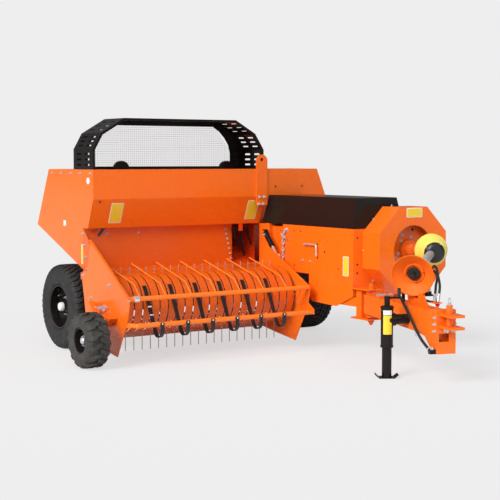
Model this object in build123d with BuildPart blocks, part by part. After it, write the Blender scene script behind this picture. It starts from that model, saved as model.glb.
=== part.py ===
from build123d import *
from math import acos, asin, atan2, cos, degrees, hypot, pi, radians, sin, tan
import os

os.makedirs("parts", exist_ok=True)

# A towed square baler, parked on its wheels and its jack, with the tongue swung over for the road.
# Forward is -Y, the right-hand side is -X, up is +Z, and the ground is z = 0. Millimetres.

# Plate thicknesses and running gaps
panel = 8
thin_panel = 5
plate = 12
pin_gap = 0.5
seat_gap = 0.3
side_gap = 6

# Main wheels, turning about X. The tyre's profile is (inset from its side, share of its height).
axle_y, axle_z = 800, 380
right_wheel_x, left_wheel_x = -1135, 1466
tyre_radius, tyre_width = 380, 250
tyre_profile = ((27, 0), (7, 0.162), (0, 0.514), (9, 0.811), (25, 0.935), (41, 0.989))
groove_edges, groove_depth = (-6, 6, 40, 52), 14
rim_radius, rim_width, rim_sheet = 195, 210, 11
hub_radius, hub_depth, hub_cap_radius, hub_cap_depth = 62, 150, 36, 33
spindle_radius, spindle_overhang = 30, 37
wheel_disc = 16

# Axle beam, its two posts and their pad under the chamber, and the post under the feeder housing
axle_beam, axle_beam_gap = 100, 85
axle_post_x, axle_post = (730, 1165), 80
axle_pad_x, axle_pad_y = (680, 1215), (680, 940)
skin_post_x = (-960, -880)

# Bale chamber: an inner tube with hoops, and windows, needle slots and the yoke's and chute's seats
chamber_x = (665, 1230)
chamber_z = (670, 1100)
chamber_rear_y = 2250
bale_width, bale_height = 460, 360
chamber_wall = 12
hoop_y, hoop_depth = (-20, 250, 680, 890, 1180, 1560, 1880, 2200), 50
feed_opening_y = (310, 640)
window_y, window_length, window_margin = (1640, 1960), 210, 60
needle_slot_y, slot_half = (925, 1010), 20
plunger_y, plunger_gap = (-380, 120), 4
bale_x = sum(chamber_x) / 2
bale_z = sum(chamber_z) / 2
tube_x = (bale_x - bale_width / 2 - chamber_wall, bale_x + bale_width / 2 + chamber_wall)
tube_z = (bale_z - bale_height / 2 - chamber_wall, bale_z + bale_height / 2 + chamber_wall)
bore_x = (tube_x[0] + chamber_wall, tube_x[1] - chamber_wall)
bore_z = (tube_z[0] + chamber_wall, tube_z[1] - chamber_wall)

# Front box with its skirt, given as (y, z), and the crank hood above it
front_box_y = (-1020, -20)
skirt_rear_y = -380
skirt_outline = ((-380, 485), (-440, 428), (-783, 417), (-1020, 520))
skirt_floor_z = 400
hatch_margin = 60
hood_rear_y, hood_top_z = 250, 1365
hood_top_x = (700, 1143)

# Feeder housing to the right of the chamber, and its header
housing_right_x = -1136
housing_front_y, housing_crease_z, housing_top_z = 310, 1351, 1608
housing_lip = (420, 1095)
housing_rear = (1480, 1090)
housing_top_rear_y = 1217
feeder_wall_y, feeder_floor_z = 500, 725
header_depth = 450
header_left_top_x, header_left_crease_x = 1260, 1363

# Deck, inner wall, cross beam, the apron under the beam, and the pickup's two bearings
deck_front_y, deck_sheet = 340, 8
inner_wall_x, inner_wall_y = 400, (489, 495)
beam_y, beam_z = (345, 405), (657, 717)
apron_z = 405
bearing_x, bearing_wall = (-1215, 541), 14
cheek_low = ((345, 717), (500, 717), (405, 620))
cheek_high = ((340, 717), (340, 900), (400, 1000), (500, 1095), (500, 717))

# Packer: fingers on a bar that swings about Y under the lip, as (top x, tip x, tip z)
packer_x, packer_y, packer_z = 462, 453, 1048
packer_bar_x, packer_bar = (380, 556), 26
packer_hanger, packer_pin_radius = 44, 10
packer_fingers = ((392, 446, 884), (462, 514, 786), (542, 593, 888))
finger_width, finger_tip, finger_depth = 24, 12, 16

# Guard arch on top of the housing, as (x, z) from the housing's top right corner, and its slots
guard_depth, guard_flange = 380, 22
guard_profile = ((0, 0), (0, 177), (80, 317), (307, 449), (1467, 449), (1680, 327), (1776, 179), (1776, 0))
window_profile = (
    (140, 25), (140, 150), (160, 225), (200, 290), (258, 350), (330, 395),
    (1450, 395), (1520, 350), (1578, 290), (1620, 225), (1640, 150), (1640, 25),
)
slot_length, slot_width, slot_spread = 92, 16, 0.27
mesh_columns, mesh_rows = 16, 5
mesh_bar, mesh_overlap = 4, 15
mesh_shoulder = (190, 150)

# Half-round covers and the lift bracket
cover_x, cover_y, cover_radius, cover_depth = (-700, 420), 600, 75, 40
bracket_x, bracket_z = (552, 675), (1268, 1742)
lifting_eye_radius, lifting_eye_drop = 17, 48

# Pickup, hinged on a cross tube at its rear, with plates given as (y, z)
pivot_y, pivot_z, pivot_radius = 300, 700, 30
pickup_x = (-1240, 560)
pickup_plate = 6
right_nose = ((-550, 570), (-512, 430), (-500, 390))
left_nose = ((-550, 570), (-512, 430), (-600, 375), (-600, 330), (-468, 335))
plate_rear = ((-320, 70), (10, 113), (220, 145), (295, 529), (334, 690), (310, 735), (227, 745))
right_apex, left_apex = (155, 1017), (155, 918)
plate_flange = 18
gusset_outline = ((-500, 552), (-425, 562), (-352, 552), (-300, 500), (-262, 444), (-330, 404), (-425, 398))
gusset_slots = (((-352, 540), (-268, 448)), ((-415, 532), (-335, 415)))
gusset_slot_radius = 7

# Stripper bands, an arc about their own centre between two cross tubes
band_y, band_z = -100, 478
stripper_radius, stripper_sheet, stripper_width = 243, 4, 69
band_lap = 0.5
lower_tube_y, lower_tube_z, lower_tube_radius = 206, 165, 16
front_tube_y, front_tube_z, front_tube_radius = -570, 350, 20
front_tube_bend, front_tube_seat = 50, (-520, -440)

# Reel of cam-guided tines, one row for each bar as (the bar's angle, the tines' direction)
reel_y, reel_z = -100, 455
tine_rows = ((28, 90), (118, 10), (208, 320), (298, 270))
tine_length, tine_radius = 245, 3.5
tine_pitch, first_tine_x, last_tine_gap = 81, -1170.5, 25
tine_bar_circle, tine_bar_radius = 165, 14
reel_shaft_radius, reel_pin_radius = 35, 20
reel_disc_margin, reel_disc = 20, 8
reel_disc_x = (-625, -35)
reel_end_gap = (29, 14)

# Rubber straps with a loop under the front tube
strap_width, strap_thickness = 35, 6
strap_loop, strap_drop, strap_rise, strap_end_angle = 60, 50, 18, 138

# Windguard
windguard_y, windguard_z, windguard_radius, windguard_pin = -520, 565, 20, 12
rod_radius, rod_step = 6, 3
rod_knee, rod_tip = (-410, 672), (80, 800)

# Gauge wheel outside the right pickup plate, its arm, and the bracket that clamps the arm
gauge_x, gauge_y, gauge_z = -1487, -300, 229
gauge_tyre_radius, gauge_tyre_width = 229, 200
gauge_rim_radius, gauge_rim_width, gauge_rim_sheet = 105, 160, 8
gauge_profile = ((22, 0), (4, 25), (0, 65), (10, 100), (40, 110))
gauge_lugs, gauge_lug_height, gauge_lug_sink = 14, 14, 16
gauge_lug_size, gauge_lug_x = (84, 46), 52
gauge_spindle, gauge_hub_radius, gauge_hub_x = 16, 36, (-50, 44)
arm_x, arm_depth, arm_overrun = (-1360, -1310), 50, 25
arm_top, arm_tube_radius = (-40, 480), 24
arm_box = ((-330, 392), (-93, 413), (46, 397), (46, 360), (-65, 292), (-204, 312))

# Lift cylinder between the chamber and the left pickup plate
lift_x = 625
lift_top, lift_foot = (262, 1020), (60, 800)
lift_barrel_length, lift_barrel_radius, lift_rod_radius = 170, 24, 11
lift_pin_radius, lift_pin_collar, lift_foot_pin = 12, 22, 10
lift_eye_radius, lift_eye_bore, lift_eye_half = 28, 18, 12
lift_rod_start, lift_rod_gap = 125, 20

# Knotters, their cover as (y, z), and the needle yoke under the chamber
knotter_y, knotter_z = 1160, 1230
knotter_plate_x, knotter_plate_y, knotter_top_z = (760, 1123), (890, 1230), 1300
knotter_shaft_radius = 18
knotter_discs = ((20, 38, 75), (38, 60, 40))
cover_side_x = (735, 1160)
cover_outline = ((880, 1100), (880, 1330), (930, 1385), (1200, 1385), (1262, 1300), (1262, 1100))
yoke_y, yoke_z, needle_radius = 1500, 880, 560
yoke_boss, yoke_pin = (28, 45), (15, 85)
needle_x = (bale_x - 115, bale_x + 115)
needle_depth, needle_width = 26, 16
needle_tip_angle, yoke_beam_angle = 204, 268
yoke_arm_x, yoke_arm_width = (636, 1247), 60
yoke_beam_radius, yoke_eye_radius, yoke_foot_radius = 24, 40, 34

# Metering wheel, tension frame, chute and twine box
star_y, star_z, star_radius = 1400, 1120, 105
star_teeth, star_tooth, star_sheet = 10, (50, 22), 10
star_shaft_radius, star_bracket_gap = 10, (68, 60)
tension_y, tension_x, tension_bar_x = 1905, (-150, 150), (740, 1155)
tension_bar_z, tension_bar_half = (1170, 1195), 20
tension_screw, tension_spring, tension_crank = (12, 1440), (30, 1350), (9, 90, 1415, 1480)
chute_length, chute_y, chute_z = 430, chamber_rear_y + 16, 690
chute_sheet, chute_rim, chute_roll, chute_pin, chute_lug = 8, 28, 10, 6, 14
box_x, box_y, box_z = (1252, 1582), (800, 1400), (862, 1182)
box_wall, box_arm_y, box_arm, box_arm_z = 4, (895, 1185), 40, (900, 1020)
lid_hinge, lid_hinge_radius, lid_pin_radius, lid_pin_length = (8, 10), 9, 5, 60
lid_lug, lid_lug_z = 18, (30, 20)
lid_inset, lid_sheet, lid_overlap = 20, 6, 6

# Driveline: gearbox, flywheel in its shield, joint, telescoping tubes
shaft_x, shaft_z = 1140, 915
gearbox_x, gearbox_rear_y, gearbox_z = 965, -660, (760, 1060)
gearbox_shaft, gearbox_shaft_y, shaft_hole = 30, -1235, 60
shield_flats, shield_depth, shield_mouth, shield_rear_hole = 747, 230, 430, 75
flywheel_y, flywheel_radius, flywheel_depth = -1135, 310, 60
flywheel_hub = ((150, 28), (130, 62), (75, 62), (75, 85), (40, 95), (40, 240), (60, 250))
joint_yoke = ((42, 42), (290, 42), (280, 28))
joint_y, joint_z, joint_ball_radius = -1500, 920, 34
cone_angle, cone_drop, cone_sheet = 30, 0.08, 6
cone_ends = ((-75, 140), (70, 82))
collar_outline = ((70.2, 88), (100, 82), (115, 62), (115, 0))
outer_tube_length, outer_tube_bore, outer_tube_hollow = 395, 25, 42
inner_tube_run, inner_tube_radius = (312, 690), 24

# Dish: a bowl round the front end of the driveline, its housing and its bracket on the tongue
dish_centre = Vector(530, -1968, 801)
dish_angle, dish_tilt = 52.5, 15
dish_radius, dish_depth, bowl_radius = 168, 62, 80
housing_bore, housing_wall, housing_back = 57, 12, 100
stub_outline = ((-50, 0), (-50, 24), (0, 24), (0, 50), (12, 53), (22, 46), (22, 17.5), (62, 17.5), (62, 0))
dish_web_half, dish_web = (62, 84), 28
dish_gusset = (
    (700, 560), (700, 668), (746, 668), (768, 606), (850, 606), (868, 648), (955, 640), (985, 598), (1030, 572),
    (1100, 560),
)
dish_gusset_w = -30

# Tongue, pivoted under the front box: u along it from the pivot, v up, w to its right
tongue_pivot = Vector(720, -1200, 0)
tongue_angle, tongue_half_width = 15.3, 80
tongue_top_z, head_top_z = 560, 578
tongue_belly = ((1330, 252), (1190, 360), (1000, 376), (300, 395), (30, 400))
tongue_shoulder = 1165
pivot_pin_radius, pivot_tube_radius, pivot_pin_overhang = 25, 45, 15
pivot_plate_z = (338, 590)
head_start, head_front, head_foot_z, head_wall = 1330, 1388, 246, 12
head_opening_w, head_opening_z = (-27, 58), (338, 400)
clevis_z, clevis_reach, clevis_width, clevis_plate = (445, 535), 182, 120, 20
hitch_post, hitch_post_radius, hitch_post_top = 50, 24, 618
hitch_bore, hitch_bore_radius = 132, 17

# Frame under the front box that carries the tongue's pivot
hitch_beam_x, hitch_beam_y, hitch_beam_z = (680, 760), (-1060, -388), (435, 515)
hitch_block_x, hitch_block_y = (670, 770), (-1130, -1060)
pivot_plate_x, pivot_plate_front = (640, 800), -1255

# Jack beside the tongue
jack_x, jack_y = 235, -1995
jack_tube_radius, jack_leg_radius, jack_wall_gap = 48, 38, 1
jack_tube_z, jack_roof = (240, 560), 12
jack_pivot_z, jack_pivot_radius, jack_pivot_boss = 455, 18, 40
jack_flange, jack_flange_depth = 50, 16
jack_neck_radius, jack_neck_z = 22, 640
crank_radius, crank_arm, crank_z = 9, (95, -30), (625, 700)
jack_leg_z = (8, 335)
jack_foot = ((-60, 0), (60, 0), (92, 28), (86, 34), (56, 9), (-56, 9), (-86, 34), (-92, 28))
jack_foot_width, jack_foot_dir = 90, Vector(-0.552, -0.834, 0)

# Hoses on the tongue, as diameters and points (u, v, w), the couplers and the guides that hold them
hose_routes = {
    "hose_long": (22, (
        (645, 652, 10), (680, 650, 44), (738, 625, 90), (835, 604, 106), (945, 532, 116), (1055, 447, 116),
        (1150, 368, 114), (1245, 308, 110), (1332, 272, 106),
    )),
    "hose_right": (20, (
        (688, 640, -206), (700, 716, -196), (744, 801, -183), (810, 851, -175), (881, 863, -155), (948, 841, -141),
        (1000, 791, -124), (1072, 738, -103), (1112, 698, -83), (1129, 648, -66),
    )),
    "hose_left": (20, (
        (704, 638, -176), (707, 704, -172), (745, 764, -169), (800, 811, -160), (861, 823, -152), (922, 805, -150),
        (967, 768, -136), (1027, 737, -93), (1086, 700, -61), (1129, 648, -34),
    )),
    "hose_short": (18, (
        (800, 596, -92), (878, 590, -88), (958, 590, -80), (1030, 597, -70), (1092, 606, -60),
    )),
}
coupler_length, coupler_radius = 48, 11
cap_radius, cap_place = 17, (1143, 588, -50)
coupler_plate = ((1104, 1170), (598, 606), (-78, -10))
guide_radius, guide_length = 17, 17
pair_guide_length = 30
guide_blocks = (
    ((622, 640), (tongue_top_z, 652), (-14, 8)),
    ((660, 690), (tongue_top_z, 604), (-74, -62)),
    ((660, 690), (604, 618), (-92, -62)),
    ((660, 716), (604, 618), (-226, -92)),
    ((778, 796), (tongue_top_z, 606), (-104, -66)),
    ((1345, 1384), (248, 282), (80, 126)),
)


def finish(piece, name):
    """Label one finished piece and write it as its own file."""
    piece.part.label = name
    export_step(piece.part, f"parts/{name}.step")


def sheet_outline(points, thickness):
    """Corners of a folded sheet: along the bend line, then back one thickness to its right."""
    corners = [Vector(*point) for point in points]
    runs = [(after - before).normalized() for before, after in zip(corners, corners[1:])]
    normals = [Vector(run.Y, -run.X) for run in runs]
    back = [corners[0] + normals[0] * thickness]
    for corner, first, second in zip(corners[1:], normals, normals[1:]):
        back.append(corner + (first + second) * (thickness / (1 + first.dot(second))))
    back.append(corners[-1] + normals[-1] * thickness)
    return [tuple(corner)[:2] for corner in corners + back[::-1]]


def side_face(points, x, amount, mode=Mode.ADD):
    """Extrude an outline given as (y, z) points from x along +X."""
    with BuildSketch(Plane.YZ.offset(x)) as profile:
        with BuildLine():
            Polyline(*points, close=True)
        make_face()
    extrude(profile.sketch, amount=amount, mode=mode)


def front_face(points, y, amount, mode=Mode.ADD):
    """Extrude an outline given as (x, z) points from y along +Y."""
    with BuildSketch(Plane.XZ.offset(-y)) as profile:
        with BuildLine():
            Polyline(*points, close=True)
        make_face()
    extrude(profile.sketch, amount=-amount, mode=mode)


def block(x, y, z, mode=Mode.ADD):
    """A block between two corners, each axis given as (low, high)."""
    low, high = zip(x, y, z)
    with Locations(tuple((a + b) / 2 for a, b in zip(low, high))):
        Box(*(b - a for a, b in zip(low, high)), mode=mode)


def rod(start, end, radius, mode=Mode.ADD):
    """A round bar between two points."""
    start, end = Vector(*start), Vector(*end)
    with BuildSketch(Plane(origin=start, z_dir=end - start)) as section:
        Circle(radius)
    extrude(section.sketch, amount=(end - start).length, mode=mode)


def across(y, z, x, radius, mode=Mode.ADD):
    """A round bar along X between x[0] and x[1]."""
    rod((x[0], y, z), (x[1], y, z), radius, mode)


def turned(points, centre, axis, mode=Mode.ADD):
    """Revolve an outline of (distance along the axis, radius) points about an axis through centre."""
    side = Vector(0, 0, 1) if abs(axis.Z) < 0.9 else Vector(1, 0, 0)
    with BuildSketch(Plane(origin=centre, x_dir=axis, z_dir=axis.cross(side))) as profile:
        with BuildLine():
            Polyline(*points, close=True)
        make_face()
    revolve(profile.sketch, axis=Axis(centre, axis), mode=mode)


# Bale chamber: an inner tube of sheet with rolled hoops round it
with BuildPart() as chamber:
    block(tube_x, (front_box_y[1], chamber_rear_y), tube_z)
    for y in hoop_y:
        block(chamber_x, (y, y + hoop_depth), chamber_z)
    block(bore_x, (front_box_y[1], chamber_rear_y), bore_z, Mode.SUBTRACT)
    block((chamber_x[0], bore_x[0]), feed_opening_y, bore_z, Mode.SUBTRACT)
    for y in window_y:
        window_z = (bore_z[0] + window_margin, bore_z[1] - window_margin)
        for x in ((chamber_x[0], bore_x[0]), (bore_x[1], chamber_x[1])):
            block(x, (y, y + window_length), window_z, Mode.SUBTRACT)
        window_x = (bore_x[0] + window_margin, bore_x[1] - window_margin)
        block(window_x, (y, y + window_length), (bore_z[1], chamber_z[1]), Mode.SUBTRACT)
    for x in needle_x:
        for z in ((chamber_z[0], bore_z[0]), (bore_z[1], chamber_z[1])):
            block((x - slot_half, x + slot_half), needle_slot_y, z, Mode.SUBTRACT)
    star_slot = (star_y - star_radius, star_y + star_radius)
    block((bale_x - slot_half, bale_x + slot_half), star_slot, (bore_z[1], chamber_z[1]), Mode.SUBTRACT)
    for x, outward in ((tube_x[0], -1), (tube_x[1], 1)):
        for radius, reach in (yoke_boss, yoke_pin):
            across(yoke_y, yoke_z, sorted((x, x + outward * reach)), radius)
        lug_x = sorted((x, x - outward * chamber_wall))
        block(lug_x, (chamber_rear_y, chute_y + chute_lug), (chute_z - chute_lug, chute_z + chute_lug))
        across(chute_y, chute_z, lug_x, chute_pin + pin_gap, Mode.SUBTRACT)
finish(chamber, "chamber")

# Plunger head inside the chamber
with BuildPart() as plunger:
    plunger_x = (bore_x[0] + plunger_gap, bore_x[1] - plunger_gap)
    block(plunger_x, plunger_y, (bore_z[0], bore_z[1] - plunger_gap))
finish(plunger, "plunger")

# Front box with its skirt
inside_x = (chamber_x[0] + panel, chamber_x[1] - panel)
with BuildPart() as front_box:
    box_side = (
        (front_box_y[0], chamber_z[1]),
        (front_box_y[1], chamber_z[1]),
        (front_box_y[1], chamber_z[0]),
        (skirt_rear_y, chamber_z[0]),
        *skirt_outline,
    )
    side_face(box_side, chamber_x[0], chamber_x[1] - chamber_x[0])
    inner_y = front_box_y[0] + panel
    block(inside_x, (inner_y, front_box_y[1]), (chamber_z[0], chamber_z[1] - panel), Mode.SUBTRACT)
    block(inside_x, (inner_y, skirt_rear_y - panel), (skirt_floor_z, chamber_z[0]), Mode.SUBTRACT)
    hatch_x = (inside_x[0] + hatch_margin, inside_x[1] - hatch_margin)
    hatch_y = (front_box_y[0] + hatch_margin, front_box_y[1] - hatch_margin)
    block(hatch_x, hatch_y, (chamber_z[1] - panel, chamber_z[1]), Mode.SUBTRACT)
    rod((shaft_x, front_box_y[0], shaft_z), (shaft_x, inner_y, shaft_z), shaft_hole, Mode.SUBTRACT)
finish(front_box, "front_box")

# Main gearbox, bolted behind the front panel, with its input shaft
with BuildPart() as gearbox:
    block((gearbox_x, inside_x[1]), (inner_y, gearbox_rear_y), gearbox_z)
    rod((shaft_x, inner_y, shaft_z), (shaft_x, gearbox_shaft_y, shaft_z), gearbox_shaft)
finish(gearbox, "gearbox")

# Crank hood
with BuildPart() as crank_hood:
    hood_outline = (
        (chamber_x[0], chamber_z[1]),
        (hood_top_x[0], hood_top_z),
        (hood_top_x[1], hood_top_z),
        (chamber_x[1], chamber_z[1]),
    )
    front_face(hood_outline, front_box_y[0], hood_rear_y - front_box_y[0])
    hood_inside = (
        (chamber_x[0] + thin_panel, chamber_z[1]),
        (hood_top_x[0] + thin_panel, hood_top_z - thin_panel),
        (hood_top_x[1] - thin_panel, hood_top_z - thin_panel),
        (chamber_x[1] - thin_panel, chamber_z[1]),
    )
    hood_inner_y = (front_box_y[0] + thin_panel, hood_rear_y - thin_panel)
    front_face(hood_inside, hood_inner_y[0], hood_inner_y[1] - hood_inner_y[0], Mode.SUBTRACT)
finish(crank_hood, "crank_hood")

# Feeder housing, one folded skin between two end plates, the header band over the chamber, and the
# packer's hanger under the lip
housing_skin = (
    (feeder_wall_y, housing_lip[1]),
    housing_lip,
    (housing_front_y, housing_crease_z),
    (housing_front_y, housing_top_z),
    (housing_top_rear_y, housing_top_z),
    housing_rear,
    (feeder_wall_y, feeder_floor_z),
)
packer_half = finger_depth / 2
with BuildPart() as feeder_housing:
    side_face(sheet_outline(housing_skin, panel), housing_right_x, chamber_x[0] - housing_right_x)
    for x in (housing_right_x, chamber_x[0] - panel):
        side_face(housing_skin, x, panel)
    header_outline = (
        (chamber_x[0], housing_crease_z),
        (chamber_x[0], housing_top_z),
        (header_left_top_x, housing_top_z),
        (header_left_crease_x, housing_crease_z),
    )
    header_inside = (
        (chamber_x[0], housing_crease_z + panel),
        (chamber_x[0], housing_top_z - panel),
        (header_left_top_x - panel, housing_top_z - panel),
        (header_left_crease_x - 2 * panel, housing_crease_z + panel),
    )
    front_face(header_outline, housing_front_y, header_depth)
    front_face(header_inside, housing_front_y + panel, header_depth - 2 * panel, Mode.SUBTRACT)
    hanger_x = (packer_x - packer_hanger / 2, packer_x + packer_hanger / 2)
    hanger_y = (packer_y - packer_half - side_gap - panel, packer_y - packer_half - side_gap)
    block(hanger_x, hanger_y, (packer_z - packer_hanger / 2, housing_lip[1]))
    pin_end = packer_y + packer_half + side_gap
    rod((packer_x, hanger_y[0], packer_z), (packer_x, pin_end, packer_z), packer_pin_radius)
finish(feeder_housing, "feeder_housing")

# Packer bar with its fingers, which sweep the crop along the deck into the chamber
with BuildPart() as packer:
    packer_front = packer_y - packer_half
    bar_z = (packer_z - packer_bar / 2, packer_z + packer_bar / 2)
    block(packer_bar_x, (packer_front, packer_front + finger_depth), bar_z)
    for top_x, tip_x, tip_z in packer_fingers:
        finger = (
            (top_x - finger_width / 2, packer_z),
            (top_x + finger_width / 2, packer_z),
            (tip_x + finger_tip / 2, tip_z),
            (tip_x - finger_tip / 2, tip_z),
        )
        front_face(finger, packer_front, finger_depth)
    rod((packer_x, packer_front, packer_z), (packer_x, packer_front + finger_depth, packer_z),
        packer_pin_radius + pin_gap, Mode.SUBTRACT)
finish(packer, "packer")

# Deck, inner wall, cross beam with the apron under it, and the cheeks at the housing's right end
with BuildPart() as feeder_deck:
    block((housing_right_x, tube_x[0]), (deck_front_y, feeder_wall_y), (beam_z[1], feeder_floor_z))
    block((housing_right_x, inner_wall_x), inner_wall_y, (feeder_floor_z, housing_lip[1]))
    block((bearing_x[0], tube_x[0]), beam_y, beam_z)
    block((housing_right_x, tube_x[0]), (beam_y[0], beam_y[0] + thin_panel), (apron_z, beam_z[0]))
    for x in bearing_x:
        block((x, x + plate), (pivot_y, beam_y[0]), beam_z)
        across(pivot_y, pivot_z, (x, x + plate), pivot_radius + bearing_wall)
        across(pivot_y, pivot_z, (x, x + plate), pivot_radius + pin_gap, Mode.SUBTRACT)
    side_face(cheek_low, housing_right_x, panel)
    side_face(cheek_high, housing_right_x - panel, panel)
finish(feeder_deck, "feeder_deck")

# Guard arch of folded sheet with a flange round its front, slots in its slopes, and its rear plate
# with a window
guard_y = (housing_front_y, housing_front_y + guard_depth)
arch = [Vector(housing_right_x + x, housing_top_z + z) for x, z in guard_profile]
window = [(housing_right_x + x, housing_top_z + z) for x, z in window_profile]
with BuildPart() as guard_arch:
    front_face(sheet_outline(arch, thin_panel), guard_y[0], guard_depth)
    front_face(sheet_outline(arch, guard_flange), guard_y[0], thin_panel)
    front_face([tuple(corner)[:2] for corner in arch], guard_y[1] - thin_panel, thin_panel)
    front_face(window, guard_y[1] - thin_panel, thin_panel, Mode.SUBTRACT)
    top_run = arch.index(max(arch, key=lambda corner: corner.Y))
    for run, (low, high) in enumerate(zip(arch, arch[1:])):
        if run == top_run:
            continue
        along = (high - low).normalized()
        outward = Vector(-along.Y, 0, along.X)
        centre = (low + high) / 2
        slope = Plane(origin=(centre.X, sum(guard_y) / 2, centre.Y), x_dir=(along.X, 0, along.Y), z_dir=outward)
        row_gap = (high - low).length * slot_spread
        with BuildSketch(slope) as slots:
            with GridLocations(row_gap, guard_depth / 2 - 2 * slot_width, 3, 2):
                SlotOverall(slot_length, slot_width, rotation=90)
        extrude(slots.sketch, amount=2 * thin_panel, both=True, mode=Mode.SUBTRACT)
finish(guard_arch, "guard_arch")

# Wire grille behind the window
with BuildPart() as guard_mesh:
    low_x, high_x = window[0][0] - mesh_overlap, window[-1][0] + mesh_overlap
    low_z, high_z = window[0][1] - mesh_overlap, max(z for x, z in window) + mesh_overlap
    shoulder_x, shoulder_z = mesh_shoulder
    mesh_y = (guard_y[1], guard_y[1] + mesh_bar - 1)
    for column in range(mesh_columns):
        x = low_x + (high_x - low_x) * (column + 0.5) / mesh_columns
        reach = min((x - low_x) / shoulder_x, (high_x - x) / shoulder_x, 1)
        top_z = low_z + shoulder_z + reach * (high_z - low_z - shoulder_z)
        block((x - mesh_bar / 2, x + mesh_bar / 2), mesh_y, (low_z, top_z))
    for row in range(mesh_rows):
        z = low_z + (high_z - low_z) * (row + 0.5) / mesh_rows
        inset = shoulder_x * max(0, (z - low_z - shoulder_z) / (high_z - low_z - shoulder_z))
        block((low_x + inset, high_x - inset), mesh_y, (z - mesh_bar / 2, z + mesh_bar / 2))
finish(guard_mesh, "guard_mesh")

# Half-round covers standing on the housing inside the arch
with BuildPart() as half_covers:
    for x in cover_x:
        with BuildSketch(Plane.XZ.offset(-cover_y)) as half_disc:
            with Locations((x, housing_top_z)):
                Circle(cover_radius)
                Rectangle(2 * cover_radius, cover_radius, align=(Align.CENTER, Align.MAX), mode=Mode.SUBTRACT)
        extrude(half_disc.sketch, amount=-cover_depth)
finish(half_covers, "half_covers")

# Lift bracket on the front of the header
with BuildPart() as lift_bracket:
    middle = sum(bracket_x) / 2
    round_radius = (bracket_x[1] - bracket_x[0]) / 2
    shoulder = bracket_z[1] - round_radius
    with BuildSketch(Plane.XZ.offset(-housing_front_y)) as bracket_face:
        with BuildLine():
            Polyline((bracket_x[0], shoulder), (bracket_x[0], bracket_z[0]), (bracket_x[1], bracket_z[0]),
                     (bracket_x[1], shoulder))
            ThreePointArc((bracket_x[0], shoulder), (middle, bracket_z[1]), (bracket_x[1], shoulder))
        make_face()
        with Locations((middle, bracket_z[1] - lifting_eye_drop)):
            Circle(lifting_eye_radius, mode=Mode.SUBTRACT)
    extrude(bracket_face.sketch, amount=plate)
finish(lift_bracket, "lift_bracket")


def skin_z(y):
    """Height of the housing's sloping underside."""
    low, high = (feeder_wall_y, feeder_floor_z), housing_rear
    return low[1] + (high[1] - low[1]) * (y - low[0]) / (high[0] - low[0])


# Axle beam with its posts and spindles
with BuildPart() as axle:
    beam_top = axle_z + axle_beam / 2
    axle_x = (right_wheel_x + axle_beam_gap, left_wheel_x - axle_beam_gap)
    block(axle_x, (axle_y - axle_beam / 2, axle_y + axle_beam / 2), (axle_z - axle_beam / 2, beam_top))
    across(axle_y, axle_z, (right_wheel_x - spindle_overhang, left_wheel_x + spindle_overhang), spindle_radius)
    post_y = (axle_y - axle_post / 2, axle_y + axle_post / 2)
    for x in axle_post_x:
        block((x - axle_post / 2, x + axle_post / 2), post_y, (beam_top, chamber_z[0] - plate))
    block(axle_pad_x, axle_pad_y, (chamber_z[0] - plate, chamber_z[0]))
    skin_post = ((post_y[0], beam_top), (post_y[1], beam_top), (post_y[1], skin_z(post_y[1])),
                 (post_y[0], skin_z(post_y[0])))
    side_face(skin_post, skin_post_x[0], skin_post_x[1] - skin_post_x[0])
finish(axle, "axle")

# Main tyres and rims, as outlines of (distance outward, radius)
tyre_half, rim_half = tyre_width / 2, rim_width / 2
tyre_height = tyre_radius - rim_radius
tyre_side = [(tyre_half - inset, rim_radius + share * tyre_height) for inset, share in tyre_profile]
tyre_side.append((groove_edges[3], tyre_radius))
tyre_side += [(edge, tyre_radius - groove_depth) for edge in groove_edges[:1:-1]]
tyre_side.append((groove_edges[2], tyre_radius))
tyre_side.append((groove_edges[1], tyre_radius))
tyre_side.append((groove_edges[1], tyre_radius - groove_depth))
tyre_outline = tyre_side + [(-along, radius) for along, radius in reversed(tyre_side)]
rim_inner = rim_radius - rim_sheet
disc_radius = (rim_inner + hub_radius) / 2 - hub_depth / 10
cap_start = hub_depth / 2 - hub_cap_depth
rim_outline = (
    (-rim_half, rim_radius), (rim_half, rim_radius), (rim_half, rim_inner), (wheel_disc * 1.5, rim_inner),
    (wheel_disc / 2, disc_radius), (wheel_disc / 2, hub_radius), (cap_start, hub_radius),
    (hub_depth / 2 - wheel_disc, hub_cap_radius), (hub_depth / 2, hub_cap_radius), (hub_depth / 2, 0), (cap_start, 0),
    (cap_start, spindle_radius + pin_gap), (-hub_depth / 2, spindle_radius + pin_gap), (-hub_depth / 2, hub_radius),
    (-wheel_disc / 2, hub_radius), (-wheel_disc / 2, disc_radius + wheel_disc / 4), (wheel_disc / 4, rim_inner),
    (-rim_half, rim_inner),
)
for side, wheel_x, outward in (("right", right_wheel_x, -1), ("left", left_wheel_x, 1)):
    hub = Vector(wheel_x, axle_y, axle_z)
    with BuildPart() as tyre:
        turned(tyre_outline, hub, Vector(outward, 0, 0))
    finish(tyre, f"tyre_{side}")
    with BuildPart() as rim:
        turned(rim_outline, hub, Vector(outward, 0, 0))
    finish(rim, f"rim_{side}")

# Knotters on the chamber, their cover, and the metering wheel behind them
with BuildPart() as knotters:
    for x in knotter_plate_x:
        block((x, x + plate), knotter_plate_y, (chamber_z[1], knotter_top_z))
    across(knotter_y, knotter_z, (knotter_plate_x[0], knotter_plate_x[1] + plate), knotter_shaft_radius)
    for x in needle_x:
        for start, end, radius in knotter_discs:
            across(knotter_y, knotter_z, (x + start, x + end), radius)
finish(knotters, "knotters")

with BuildPart() as knotter_cover:
    side_face(sheet_outline(cover_outline, thin_panel), cover_side_x[0], cover_side_x[1] - cover_side_x[0])
    for x in (cover_side_x[0], cover_side_x[1] - thin_panel):
        side_face(cover_outline, x, thin_panel)
finish(knotter_cover, "knotter_cover")

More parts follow.
